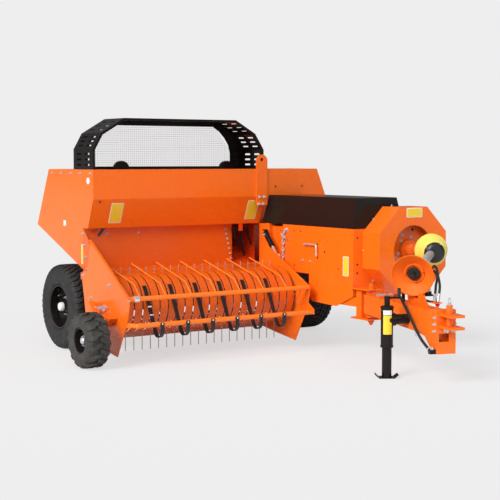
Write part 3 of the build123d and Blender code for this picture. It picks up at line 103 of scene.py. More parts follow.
def spread(tree, value, low, high, start=0.3, end=0.7):
    """Maps a value's range to another range."""
    mapped = add(tree, "ShaderNodeMapRange", value=value)
    for label, number in (("From Min", start), ("From Max", end), ("To Min", low), ("To Max", high)):
        mapped.inputs[label].default_value = number
    return mapped.outputs[0]


def blend_colours(tree, factor, first, second):
    """One colour turning into another by a factor; each is a colour or a socket."""
    mixed = add(tree, "ShaderNodeMix", data_type="RGBA")
    tree.links.new(factor, mixed.inputs[0])
    for socket, colour in ((mixed.inputs[6], first), (mixed.inputs[7], second)):
        if isinstance(colour, bpy.types.NodeSocket):
            tree.links.new(colour, socket)
        else:
            socket.default_value = (*colour, 1)
    return mixed.outputs[2]


def times(tree, first, second):
    """The product of two values."""
    product = add(tree, "ShaderNodeMath", operation="MULTIPLY")
    for socket, value in zip(product.inputs, (first, second)):
        if isinstance(value, bpy.types.NodeSocket):
            tree.links.new(value, socket)
        else:
            socket.default_value = value
    return product.outputs[0]


def upward(tree):
    """1 on faces that look up, falling to 0 on upright ones."""
    normal = add(tree, "ShaderNodeNewGeometry").outputs["Normal"]
    parts = add(tree, "ShaderNodeSeparateXYZ", vector=normal)
    return spread(tree, parts.outputs["Z"], 0, 1, 0.2, 0.9)


def bumped(tree, shader, height, strength, distance, round_edges=0.0):
    """Gives the shader a bump, over edges that are softly rounded."""
    bump = add(tree, "ShaderNodeBump", height=height, strength=strength, distance=distance)
    if round_edges:
        rounded = add(tree, "ShaderNodeBevel", samples=4, radius=round_edges)
        tree.links.new(rounded.outputs[0], bump.inputs["Normal"])
    tree.links.new(bump.outputs[0], shader.inputs["Normal"])


DUST = (0.55, 0.5, 0.42)
# Darker orange painted inside the throat as shade
THROAT_SHADE_COLOUR = (0.80, 0.050, 0.005)


def enamel(name, colour, shade, gloss=(0.22, 0.34), dust=0.03, edges=0.003, coat=0.10, shine=0.35):
    """Sprayed paint: a faint orange peel, uneven gloss, slow shifts of tone and a little dust on top."""
    material, tree, shader = new_tree(name)
    tone = blend_colours(tree, noise(tree, 1.7, 4), colour, shade)
    dusty = times(tree, upward(tree), spread(tree, noise(tree, 9, 6, 0.65), 0, dust, 0.4, 0.75))
    tree.links.new(blend_colours(tree, dusty, tone, DUST), shader.inputs["Base Color"])
    tree.links.new(spread(tree, noise(tree, 14, 5), *gloss), shader.inputs["Roughness"])
    shader.inputs["Coat Weight"].default_value = coat
    shader.inputs["Coat Roughness"].default_value = 0.08
    shader.inputs["Specular IOR Level"].default_value = shine
    bumped(tree, shader, noise(tree, 260, 2), 0.06, 0.0006, edges)
    return material


def painted_throat_shade(material):
    """Painted shade: darkens the paint inside the throat, on faces that don't look to the rear."""
    tree = material.node_tree
    shader = tree.nodes["Principled BSDF"]
    place = add(tree, "ShaderNodeTexCoord").outputs["Object"]
    at = add(tree, "ShaderNodeSeparateXYZ", vector=place).outputs
    normal = add(tree, "ShaderNodeNewGeometry").outputs["Normal"]
    inward = spread(tree, add(tree, "ShaderNodeSeparateXYZ", vector=normal).outputs["Y"], 1, 0, 0.2, 0.4)
    mouth_y, inner_x, roof_z = (0.32, 0.34), (0.36, 0.42), (1.075, 1.092)
    deep = times(tree, spread(tree, at["Y"], 0, 1, *mouth_y), spread(tree, at["X"], 0, 1, *inner_x))
    below = times(tree, deep, spread(tree, at["Z"], 1, 0, *roof_z))
    # How much painted shade falls on each point inside the throat
    shade_share = times(tree, times(tree, below, inward), spread(tree, noise(tree, 7, 5), 0.80, 1.0))
    painted = shader.inputs["Base Color"].links[0].from_socket
    tree.links.new(blend_colours(tree, shade_share, painted, THROAT_SHADE_COLOUR), shader.inputs["Base Color"])
    return material


def rubber(name, colour, dirt, roughness=(0.62, 0.85), grain=420, strength=0.25, dirt_share=0.35):
    """Moulded rubber: matt, finely grained, with pale dust caught in it."""
    material, tree, shader = new_tree(name)
    patches = spread(tree, noise(tree, 11, 6, 0.7), 0, dirt_share, 0.42, 0.72)
    tree.links.new(blend_colours(tree, patches, colour, dirt), shader.inputs["Base Color"])
    tree.links.new(spread(tree, noise(tree, 24, 4), *roughness), shader.inputs["Roughness"])
    bumped(tree, shader, noise(tree, grain, 3), strength, 0.0008)
    return material


def plated(name, colour, dull, roughness=(0.2, 0.42), grain=(90, 90, 90), strength=0.08, metal=0.6):
    """Bare or plated metal with clouded gloss and drawing marks."""
    material, tree, shader = new_tree(name)
    clouds = noise(tree, 18, 5, 0.6)
    tree.links.new(blend_colours(tree, clouds, colour, dull), shader.inputs["Base Color"])
    tree.links.new(spread(tree, clouds, *roughness), shader.inputs["Roughness"])
    shader.inputs["Metallic"].default_value = metal
    bumped(tree, shader, noise(tree, 1, 3, stretch=grain), strength, 0.0005, 0.0008)
    return material


def plastic(name, colour, shade, roughness=(0.34, 0.5), strength=0.1):
    """Moulded plastic with a faint skin texture and slow tone shifts."""
    material, tree, shader = new_tree(name)
    tree.links.new(blend_colours(tree, noise(tree, 8, 4), colour, shade), shader.inputs["Base Color"])
    tree.links.new(spread(tree, noise(tree, 30, 4), *roughness), shader.inputs["Roughness"])
    bumped(tree, shader, noise(tree, 500, 2), strength, 0.0004, 0.0015)
    return material


BODY_ORANGE, BODY_SHADE = (0.92, 0.158, 0.007), (0.86, 0.140, 0.006)
ORANGE = enamel("orange_enamel", BODY_ORANGE, BODY_SHADE)
# The body orange with painted shade inside the throat
THROAT = painted_throat_shade(enamel("throat_shaded_orange", BODY_ORANGE, BODY_SHADE))
BLACK = enamel("black_enamel", (0.009, 0.007, 0.007), (0.014, 0.011, 0.010), (0.14, 0.22), 0.008, 0.002, 0.08, 0.14)
# A lighter, glossier copy of the body orange: painted highlight on the pickup tubes and the windguard
HIGHLIT_ORANGE = enamel("highlit_rod_orange", (0.96, 0.215, 0.022), (0.92, 0.190, 0.016), (0.2, 0.3), 0.02)
# A darker copy of the body orange: painted shade on the strippers, the deck wall and the flywheel
SHADED_ORANGE = enamel("shaded_band_orange", (0.78, 0.120, 0.006), (0.68, 0.100, 0.005), (0.24, 0.36), 0.02)
SATIN = enamel("satin_orange", BODY_ORANGE, (0.84, 0.138, 0.006), (0.50, 0.66), 0.03, 0.003, 0.0, 0.25)
CAST = enamel("cast_orange", (0.70, 0.130, 0.012), (0.56, 0.090, 0.010), (0.40, 0.60), 0.12, 0.004, 0.1)
TYRE = rubber("tyre_rubber", (0.014, 0.014, 0.015), (0.052, 0.050, 0.047))
GAUGE = rubber("gauge_tyre_rubber", (0.034, 0.032, 0.030), (0.105, 0.094, 0.083), (0.7, 0.9), 380, 0.3, 0.5)
STRAP = rubber("strap_rubber", (0.010, 0.010, 0.011), (0.035, 0.033, 0.031), (0.35, 0.55), 300, 0.12, 0.2)
HOSE = rubber("hose_rubber", (0.014, 0.014, 0.015), (0.04, 0.04, 0.04), (0.38, 0.55), 700, 0.15, 0.25)
ZINC = plated("zinc", (0.70, 0.71, 0.74), (0.50, 0.51, 0.53), (0.28, 0.5))
WIRE = plated("mesh_wire", (0.80, 0.81, 0.83), (0.66, 0.67, 0.69), (0.3, 0.5))
CHROME = plated("chrome", (0.86, 0.87, 0.88), (0.74, 0.75, 0.76), (0.08, 0.2))
STEEL = plated("tine_steel", (0.55, 0.54, 0.53), (0.36, 0.34, 0.33), (0.3, 0.5))
DARK_STEEL = plated("dark_steel", (0.045, 0.040, 0.040), (0.020, 0.018, 0.016), (0.35, 0.55))
CONE = plastic("cone_plastic", (0.84, 0.73, 0.15), (0.78, 0.65, 0.11))
TUBE = plastic("tube_grey", (0.40, 0.370, 0.355), (0.35, 0.325, 0.31), (0.26, 0.42))
COLLAR = plastic("collar_plastic", (0.010, 0.010, 0.011), (0.016, 0.016, 0.016))
RED = plastic("red_plastic", (0.62, 0.03, 0.015), (0.5, 0.025, 0.012))
YELLOW = plastic("yellow_plate", (0.86, 0.62, 0.035), (0.80, 0.56, 0.03), (0.3, 0.42), 0.03)
WHITE = plastic("white_plate", (0.82, 0.82, 0.80), (0.74, 0.74, 0.73), (0.3, 0.42), 0.03)
# Near-black paint for discs that stand in for the shade inside holes
DARK = enamel("hole_shade", (0.012, 0.006, 0.004), (0.02, 0.009, 0.006), (0.6, 0.8), 0.0, 0.0, 0.0)


# Meshes

def across_of(axis):
    """Two unit vectors square to an axis and to each other."""
    axis = Vector(axis).normalized()
    side = axis.orthogonal().normalized()
    return side, axis.cross(side)


def spoke(u, v, turn):
    """The direction at an angle from u towards v."""
    return u * math.cos(turn) + v * math.sin(turn)


def circle(centre, u, v, radius, count):
    """Points round a circle that lies along two unit vectors."""
    return [centre + spoke(u, v, TURN * i / count) * radius for i in range(count)]


class Shape:
    """Plain forms gathered in one mesh, in the row frame, in metres."""

    def __init__(self):
        self.mesh = bmesh.new()

    def rings(self, rings, closed=False, caps=True):
        """Skins a list of rings of points, each with as many points."""
        made = [[self.mesh.verts.new(point) for point in ring] for ring in rings]
        count = len(made[0])
        pairs = list(zip(made, made[1:]))
        if closed:
            pairs.append((made[-1], made[0]))
        for low, high in pairs:
            for i in range(count):
                j = (i + 1) % count
                self.mesh.faces.new((low[i], low[j], high[j], high[i]))
        if caps and not closed:
            self.mesh.faces.new(made[0][::-1])
            self.mesh.faces.new(made[-1])
        return self

    def lathe(self, outline, centre, axis, steps=48, closed=True):
        """Turns an outline of (along, radius) points about an axis; a closed outline makes a ring."""
        axis = Vector(axis).normalized()
        side, other = across_of(axis)
        profiles = []
        for step in range(steps):
            out = spoke(side, other, TURN * step / steps)
            profiles.append([Vector(centre) + axis * along + out * radius for along, radius in outline])
        if closed:
            return self.rings(profiles, closed=True)
        return self.rings([list(ring) for ring in zip(*profiles)])

    def bar(self, start, end, radius, steps=16):
        """A round bar."""
        start, end = Vector(start), Vector(end)
        return self.lathe([(0, radius), ((end - start).length, radius)], start, end - start, steps, closed=False)

    def disc(self, seat, axis, radius, steps=20, low=-0.0004, high=0.0006):
        """A thin round patch, such as painted shade in the mouth of a hole."""
        return self.lathe([(low, radius), (high, radius), (high, 0.0005)], seat, axis, steps, closed=False)

    def rivet(self, seat, axis):
        """A small domed rivet head."""
        return self.lathe([(0, 0.007), (0.002, 0.006), (0.003, 0.003), (0.0031, 0.0004)], seat, axis, 12,
                          closed=False)

    def path(self, points, radius, steps=10, closed=False):
        """A round tube along points."""
        points = [Vector(point) for point in points]
        count = len(points)
        rings = []
        side = None
        for i, point in enumerate(points):
            if closed:
                along = points[(i + 1) % count] - points[i - 1]
            else:
                along = points[min(i + 1, count - 1)] - points[max(i - 1, 0)]
            along.normalize()
            side = across_of(along)[0] if side is None else (side - along * side.dot(along)).normalized()
            other = along.cross(side)
            rings.append(circle(point, side, other, radius, steps))
        return self.rings(rings, closed)

    def prism(self, outline, origin, u, v, depth):
        """An outline of (u, v) points, extruded by depth along u cross v."""
        u, v = Vector(u).normalized(), Vector(v).normalized()
        away = u.cross(v) * depth
        low = [Vector(origin) + u * a + v * b for a, b in outline]
        return self.rings([low, [point + away for point in low]])

    def block(self, low, high):
        """A block between two corners."""
        size = [b - a for a, b in zip(low, high)]
        outline = [(0, 0), (size[0], 0), (size[0], size[1]), (0, size[1])]
        return self.prism(outline, low, X, Y, size[2])

    def bolt(self, seat, axis, width, head=0.7, washer=True):
        """A hexagon head of that width across corners, on a washer, with its shank's end showing."""
        axis = Vector(axis).normalized()
        foot = Vector(seat)
        if washer:
            self.lathe([(0, width * 0.72), (width * 0.10, width * 0.72)], foot, axis, 16, closed=False)
            foot = foot + axis * width * 0.10
        top = width * head
        self.lathe([(0, width / 2), (top * 0.8, width / 2), (top, width * 0.42)], foot, axis, 6, closed=False)
        self.lathe([(top, width * 0.24), (top * 1.35, width * 0.24), (top * 1.5, width * 0.19)], foot, axis, 10,
                   closed=False)
        return self

    def plate(self, centre, u, v, width, height, thick=0.0012, corner=0.006):
        """A thin plate with rounded corners, lying on a face whose sides run along u and v."""
        outline = []
        for sign_u, sign_v, start in ((1, 1, 0), (-1, 1, 90), (-1, -1, 180), (1, -1, 270)):
            for part in range(4):
                angle = math.radians(start + 30 * part)
                outline.append((sign_u * (width / 2 - corner) + corner * math.cos(angle),
                                sign_v * (height / 2 - corner) + corner * math.sin(angle)))
        return self.prism(outline, centre, u, v, thick)

    def done(self, name, material, body, smooth=32, bevel=0.0, slot=None):
        """Makes the object, shades it smooth up to an angle, and lets it ride on its body."""
        bmesh.ops.recalc_face_normals(self.mesh, faces=self.mesh.faces)
        data = bpy.data.meshes.new(name)
        self.mesh.to_mesh(data)
        self.mesh.free()
        data.polygons.foreach_set("use_smooth", [True] * len(data.polygons))
        data.set_sharp_from_angle(angle=math.radians(smooth))
        data.materials.append(material)
        made = bpy.data.objects.new(name, data)
        bpy.context.scene.collection.objects.link(made)
        if bevel:
            rounding = made.modifiers.new("rounding", "BEVEL")
            rounding.width = bevel
            rounding.segments = 2
            rounding.angle_limit = math.radians(35)
        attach(made, body)
        return made


# Finishes of the frame's own pieces

FINISHES = {
    ORANGE: ("chamber", "front_box", "lift_bracket", "axle", "knotter_cover", "metering_bracket", "tension_frame",
             "twine_box", "twine_lid", "flywheel_shield", "dish_bracket", "tongue", "hitch_head", "hitch_frame",
             "pickup_plate_right", "pickup_plate_left", "gauge_arm", "bale_chute", "needle_yoke", "lift_pin"),
    THROAT: ("feeder_housing",),
    SATIN: ("dish",),
    HIGHLIT_ORANGE: ("pickup_tubes", "windguard"),
    SHADED_ORANGE: ("strippers", "feeder_deck", "flywheel"),
    BLACK: ("crank_hood", "guard_arch", "half_covers", "rim_right", "rim_left", "gauge_rim", "jack_tube",
            "jack_leg", "jack_mount", "lift_barrel", "packer", "hose_guides", "plunger"),
    CAST: ("gearbox", "knotters"),
    TYRE: ("tyre_right", "tyre_left"),
    GAUGE: ("gauge_tyre",),
    STEEL: ("reel", "metering_wheel"),
    DARK_STEEL: ("input_stub",),
    CHROME: ("lift_rod",),
    TUBE: ("outer_tube", "inner_tube"),
    CONE: ("joint_cone",),
    COLLAR: ("joint_collar",),
    STRAP: ("straps",),
}
for finish, names in FINISHES.items():
    for name in names:
        node[name].data.materials.clear()
        node[name].data.materials.append(finish)


# Wheels

def tread_lug(shape, centre, outward, stations, start):
    """One tread lug: stations of (across, foot radius, top radius, angle, half angle)."""
    rings = []
    for across, foot, top, angle, half in stations:
        ring = []
        for radius, offset in ((foot, -half), (foot, half), (top, half * 0.86), (top, -half * 0.86)):
            ring.append(centre + outward * across + spoke(Y, Z, start + angle + offset) * radius)
        rings.append(ring)
    shape.rings(rings)


def half_height(name):
    """A wheel piece's radius, from its box."""
    low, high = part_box(name)
    return (high.z - low.z) / 2


def mirrored(outline):
    """An outline of (across, radius) points, closed by its mirror image."""
    return outline + [(-across, radius) for across, radius in reversed(outline)]


def main_wheel(side, outward):
    """An implement tyre with a blocky tread, on its black rim."""
    low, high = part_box(f"tyre_{side}")
    centre, radius, half = (low + high) / 2, (high.z - low.z) / 2, (high.x - low.x) / 2
    rim = half_height(f"rim_{side}")
    base = radius - 0.012
    carcass = [
        (half - 0.030, rim), (half - 0.012, rim + 0.012), (half - 0.004, rim + 0.035), (half - 0.006, rim + 0.050),
        (half, rim + 0.075), (half - 0.001, rim + 0.105), (half - 0.006, rim + 0.130), (half - 0.014, rim + 0.148),
        (half - 0.028, base - 0.010), (half - 0.050, base - 0.001), (0.050, base), (0.044, base - 0.006),
        (0.038, base - 0.006), (0.032, base),
    ]
    tyre = Shape().lathe(mirrored(carcass), centre, outward, 96)
    blocks = 44
    pitch = TURN / blocks
    for block in range(blocks):
        start = TURN * block / blocks
        for sign in (1, -1):
            turn = start + (pitch / 2 if sign < 0 else 0)
            shoulder = (
                (0.046, base - 0.004, radius, 0.10 * pitch, 0.34 * pitch),
                (half - 0.050, base - 0.006, radius - 0.002, 0.40 * pitch, 0.34 * pitch),
                (half - 0.026, base - 0.022, radius - 0.011, 0.48 * pitch, 0.32 * pitch),
                (half - 0.010, rim + 0.138, rim + 0.146, 0.52 * pitch, 0.28 * pitch),
            )
            tread_lug(tyre, centre, outward, [(sign * a, *rest) for a, *rest in shoulder], turn)
        for across, shift in ((-0.022, 0), (0.014, 0.5)):
            rib = ((across - 0.012, base - 0.004, radius, -0.22 * pitch, 0.40 * pitch),
                   (across + 0.016, base - 0.004, radius, 0.22 * pitch, 0.40 * pitch))
            tread_lug(tyre, centre, outward, rib, start + shift * pitch)
    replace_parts(tyre.done(f"tyre_{side}_tread", TYRE, f"wheel_{side}", 26, slot="tyre"), f"tyre_{side}")

    hub = Shape()
    cap = centre + outward * 0.070
    hub.lathe([(0, 0.040), (0.020, 0.040), (0.032, 0.034), (0.038, 0.018), (0.039, 0.001)], cap, outward, 32,
              closed=False)
    hub.done(f"hub_cap_{side}", WHITE, f"wheel_{side}")
    nuts = Shape()
    nut_circle, nut_count = 0.085, 6
    for seat in circle(centre + outward * 0.008, Y, Z, nut_circle, nut_count):
        nuts.bolt(seat, outward, 0.024)
    valve = spoke(Y, Z, 0.6)
    nuts.bar(centre + outward * 0.02 + valve * 0.165, centre + outward * 0.055 + valve * 0.150, 0.004, 8)
    nuts.done(f"wheel_nuts_{side}", ZINC, f"wheel_{side}", slot="zinc")


def gauge_wheel():
    """The small lugged wheel outside the pickup."""
    low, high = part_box("gauge_tyre")
    centre, radius, half = (low + high) / 2, (high.z - low.z) / 2, (high.x - low.x) / 2
    rim = half_height("gauge_rim")
    base = radius - 0.016
    side = [
        (half - 0.024, rim), (half - 0.010, rim + 0.006), (half - 0.004, rim + 0.022), (half, rim + 0.045),
        (half - 0.002, rim + 0.068), (half - 0.010, base - 0.014), (half - 0.028, base - 0.003),
    ]
    outward = -X
    tyre = Shape().lathe(mirrored(side), centre, outward, 72)
    count = 15
    pitch = TURN / count
    for lug in range(count):
        for sign in (1, -1):
            start = pitch * (lug + (0.5 if sign < 0 else 0))
            stations = (
                (-0.006, base - 0.004, radius, -0.34 * pitch, 0.20 * pitch),
                (0.030, base - 0.004, radius, -0.20 * pitch, 0.21 * pitch),
                (0.042, base - 0.004, radius, -0.02 * pitch, 0.23 * pitch),
                (half - 0.026, base - 0.006, radius - 0.004, 0.04 * pitch, 0.24 * pitch),
                (half - 0.006, base - 0.026, radius - 0.022, 0.05 * pitch, 0.22 * pitch),
                (half - 0.001, rim + 0.062, rim + 0.068, 0.05 * pitch, 0.18 * pitch),
            )
            tread_lug(tyre, centre, outward, [(sign * a, *rest) for a, *rest in stations], start)
    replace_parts(tyre.done("gauge_tyre_tread", GAUGE, "gauge_wheel", 28, slot="tyre"), "gauge_tyre")
    cap = Shape().lathe([(0.040, 0.030), (0.062, 0.030), (0.070, 0.022), (0.072, 0.001)], centre, outward, 24,
                        closed=False)
    cap.done("gauge_hub_cap", ZINC, "gauge_wheel", slot="zinc")
    nuts = Shape()
    for nut in range(5):
        nuts.bolt(centre + outward * 0.022 + spoke(Y, Z, TURN * (nut + 0.3) / 5) * 0.060, outward, 0.019)
    nuts.done("gauge_nuts", ZINC, "gauge_wheel", slot="zinc")


main_wheel("right", -X)
main_wheel("left", X)
gauge_wheel()


# Hoses

HEADING = math.radians(15.3)
PIVOT = Vector((0.72, -1.2, 0))
ALONG = Vector((-math.sin(HEADING), -math.cos(HEADING), 0))
ASIDE = ALONG.cross(Z)


def hitch(u, v, w):
    """A point in the tongue's frame: along it from its pivot, up, and to its right."""
    return PIVOT + ALONG * u + Z * v + ASIDE * w


# Diameter and length of each hose in metres, and its route in millimetres in the tongue's frame
HOSES = {
    "hose_long": (0.022, 0.825, (
        (645, 652, 10), (680, 650, 44), (738, 625, 90), (835, 604, 106), (945, 532, 116), (1055, 447, 116),
        (1150, 368, 114), (1245, 308, 110), (1332, 272, 106),
    )),
    "hose_right": (0.020, 0.679, (
        (688, 640, -206), (700, 716, -196), (744, 801, -183), (810, 851, -175), (881, 863, -155), (948, 841, -141),
        (1000, 791, -124), (1072, 738, -103), (1112, 698, -83), (1129, 648, -66),
    )),
    "hose_left": (0.020, 0.619, (
        (704, 638, -176), (707, 704, -172), (745, 764, -169), (800, 811, -160), (861, 823, -152), (922, 805, -150),
        (967, 768, -136), (1027, 737, -93), (1086, 700, -61), (1129, 648, -34),
    )),
    "hose_short": (0.018, 0.295, (
        (800, 596, -92), (878, 590, -88), (958, 590, -80), (1030, 597, -70), (1092, 606, -60),
    )),
}


def hose(name, diameter, length, route):
    """A rubber hose on one smooth line, held at both ends."""
    points = [hitch(*(number / 1000 for number in point)) for point in route]
    line = bpy.data.curves.new(name, "CURVE")
    line.dimensions = "3D"
    line.resolution_u = 12
    line.bevel_depth = diameter / 2
    line.bevel_resolution = 5
    line.use_fill_caps = True
    spline = line.splines.new("NURBS")
    spline.points.add(len(points) - 1)
    for knot, point in zip(spline.points, points):
        knot.co = (*point, 1)
    spline.order_u = 3
    spline.use_endpoint_u = True
    line.materials.append(HOSE)
    made = bpy.data.objects.new(f"{name}_rubber", line)
    bpy.context.scene.collection.objects.link(made)
    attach(made, "drawbar")
    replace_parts(made, name)
    return points


routes = {name: hose(name, *facts) for name, facts in HOSES.items()}


def couplers():
    """Crimped sleeves, knurled couplers in their holder, and the red cap between them."""
    metal = Shape()
    for name, points in routes.items():
        radius = HOSES[name][0] / 2
        for end, inside in ((points[0], points[1]), (points[-1], points[-2])):
            along = (inside - end).normalized()
            metal.lathe([(0.0005, radius + 0.002), (0.020, radius + 0.002), (0.022, radius + 0.0005)], end, along, 20,
                        closed=False)
        if name == "hose_long":
            continue
        end, along = points[-1], (points[-1] - points[-2]).normalized()
        collars = ((0, 0.009), (0.006, 0.009), (0.006, 0.0125), (0.016, 0.0125), (0.016, 0.0095), (0.020, 0.0095),
                   (0.020, 0.0125), (0.036, 0.0125), (0.036, 0.0105), (0.046, 0.0100))
        metal.lathe(list(collars), end, along, 24, closed=False)
    metal.done("couplers", ZINC, "drawbar", slot="zinc")
    cap = hitch(1.143, 0.588, -0.050)
    holder = Shape()
    holder.prism([(1.104, 0.598), (1.170, 0.598), (1.170, 0.606), (1.104, 0.606)], PIVOT - ASIDE * 0.078, ALONG, Z,
                 0.068)
    holder.bar(Vector((cap.x, cap.y, 0.561)), Vector((cap.x, cap.y, 0.600)), 0.0085)
    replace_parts(holder.done("coupler_holder", ORANGE, "drawbar", bevel=0.0008, slot="orange"), "hose_couplers")
    ball = Shape()
    steps = [(-0.017 * math.cos(math.pi * i / 12), 0.017 * math.sin(math.pi * i / 12)) for i in range(1, 12)]
    ball.lathe(steps, cap, (ALONG * 0.4 + Z).normalized(), 24, closed=False)
    ball.done("coupler_cap", RED, "drawbar")


couplers()


# Pieces that dress the body

def bolt_row(shape, points, axis, width):
    """Bolts of one size on one face."""
    for point in points:
        shape.bolt(point, axis, width)


def between(start, end, count):
    """Evenly spaced points, both ends among them."""
    start, end = Vector(start), Vector(end)
    return [start.lerp(end, i / (count - 1)) for i in range(count)]


SLOPE_TOP_Z = 1.351
SLOPE_FALL = Vector((0, 0.110, -0.256))
SLOPE = SLOPE_FALL.normalized()


def slope_point(x, share):
    """A point on the housing's sloping front, at a share of the way down from its crease."""
    return Vector((x, HOUSING_FRONT_Y, SLOPE_TOP_Z)) + SLOPE_FALL * share


def housing_pieces():
    """Bolts, blank plates, flaps and the wire mesh of the guard."""
    bolts = Shape()
    crease_y, wall_y, beam_y = HOUSING_FRONT_Y - 0.012, DECK_WALL_Y, 0.345
    bolt_row(bolts, [(0.586, crease_y, 1.345), (0.640, crease_y, 1.344), (0.579, crease_y, 1.28),
                     (0.625, crease_y, 1.279)], -Y, 0.022)
    bolt_row(bolts, [(-0.917, wall_y, 1.037), (-0.599, wall_y, 1.039)], -Y, 0.018)
    bolt_row(bolts, between((0.329, wall_y, 1.044), (0.386, wall_y, 0.768), 7), -Y, 0.016)
    bolt_row(bolts, between((-1.144, 0.425, 0.740), (-1.144, 0.485, 1.050), 4), -X, 0.018)
    bolt_row(bolts, between((-1.00, beam_y, 0.688), (0.62, beam_y, 0.688), 10), -Y, 0.018)
    bolt_row(bolts, between((HOUSING_END_X, 0.36, 1.575), (HOUSING_END_X, 1.14, 1.575), 5), -X, 0.016)
    bolts.done("housing_bolts", ZINC, "root", slot="zinc")

    borders, signs = Shape(), Shape()
    border, sign_thick = 0.006, 0.0012
    for centre, u, v, width, height in (
        (slope_point(-0.887, 0.49), X, -SLOPE, 0.122, 0.194),
        (slope_point(0.540, 0.49), X, -SLOPE, 0.122, 0.194),
        (Vector((CHAMBER_SIDE_X, -0.918, 0.775)), -Y, Z, 0.080, 0.170),
        (Vector((1.150, -1.25, 1.240)), X, Z, 0.176, 0.082),
        (Vector((HOUSING_END_X, 0.51, 0.865)), -Y, Z, 0.080, 0.170),
    ):
        borders.plate(centre, u, v, width, height, sign_thick)
        signs.plate(centre + Vector(u).cross(Vector(v)).normalized() * sign_thick, u, v, width - 2 * border,
                    height - 2 * border, sign_thick / 2, 0.004)
    signs.done("signs", YELLOW, "root")
    borders.plate((HOUSING_END_X, 0.883, 1.124), -Y, Z, 0.050, 0.050, sign_thick)
    borders.disc((HOUSING_END_X, 0.406, 1.509), -X, 0.030, 32, 0, sign_thick)
    borders.done("sign_borders", WHITE, "root")

    end = Shape()
    sheet = [Vector(p) for p in ((0.664, 0.368, 1.103), (0.664, 0.249, 1.103), (0.699, 0.249, 1.364),
                                 (0.699, 0.302, 1.364))]
    end.rings([sheet, [point + X * 0.003 for point in sheet]])
    end.done("hood_end", BLACK, "root", slot="black_paint")

    flaps = Shape()
    flaps.prism([(-1.046, 1.025), (-1.022, 1.025), (-0.962, 1.094), (-1.004, 1.094)], (0, 0.4245, 0), X, Z, 0.004)
    flaps.done("flaps", STRAP, "root", bevel=0.002, slot="rubber")
    # Dark discs: painted shade inside the holes of the housing front
    hole_shades = Shape()
    for x, z in ((-1.071, 1.328), (0.775, 1.443), (1.084, 1.442)):
        hole_shades.disc((x, HOUSING_FRONT_Y - 0.0005, z), -Y, 0.009, 20, 0, 0.0008)
    hole_shades.done("housing_hole_shades", DARK, "root")

    mesh = Shape()
    low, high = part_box("guard_mesh")
    shoulder_x, shoulder_z = 0.190, 0.150
    columns, rows = 74, 20
    upright_y, level_y, wire = 0.6908, 0.6922, 0.0011
    rise = high.z - low.z - shoulder_z
    for column in range(columns):
        x = low.x + (high.x - low.x) * (column + 0.5) / columns
        reach = min((x - low.x) / shoulder_x, (high.x - x) / shoulder_x, 1)
        mesh.bar((x, upright_y, low.z), (x, upright_y, low.z + shoulder_z + reach * rise), wire, 5)
    for row in range(rows):
        z = low.z + (high.z - low.z) * (row + 0.5) / rows
        inset = shoulder_x * max(0, (z - low.z - shoulder_z) / rise)
        mesh.bar((low.x + inset, level_y, z), (high.x - inset, level_y, z), wire, 5)
    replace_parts(mesh.done("guard_wires", WIRE, "root", slot="zinc"), "guard_mesh")


def chain(shape, points, length, wire):
    """Welded links of that length along points, each turned a quarter from the last."""
    points = [Vector(point) for point in points]
    marks = []
    rest = 0.0
    for start, end in zip(points, points[1:]):
        run = (end - start).length
        while rest < run:
            marks.append((start.lerp(end, rest / run), (end - start).normalized()))
            rest += length - 2.4 * wire
        rest -= run
    turns = [TURN * step / 16 for step in range(16)]
    for i, (centre, along) in enumerate(marks):
        side, other = across_of(along)
        wide = side if i % 2 else other
        link = [centre + along * math.cos(turn) * (length / 2 - wire) + wide * math.sin(turn) * length * 0.27
                for turn in turns]
        shape.path(link, wire, 6, closed=True)


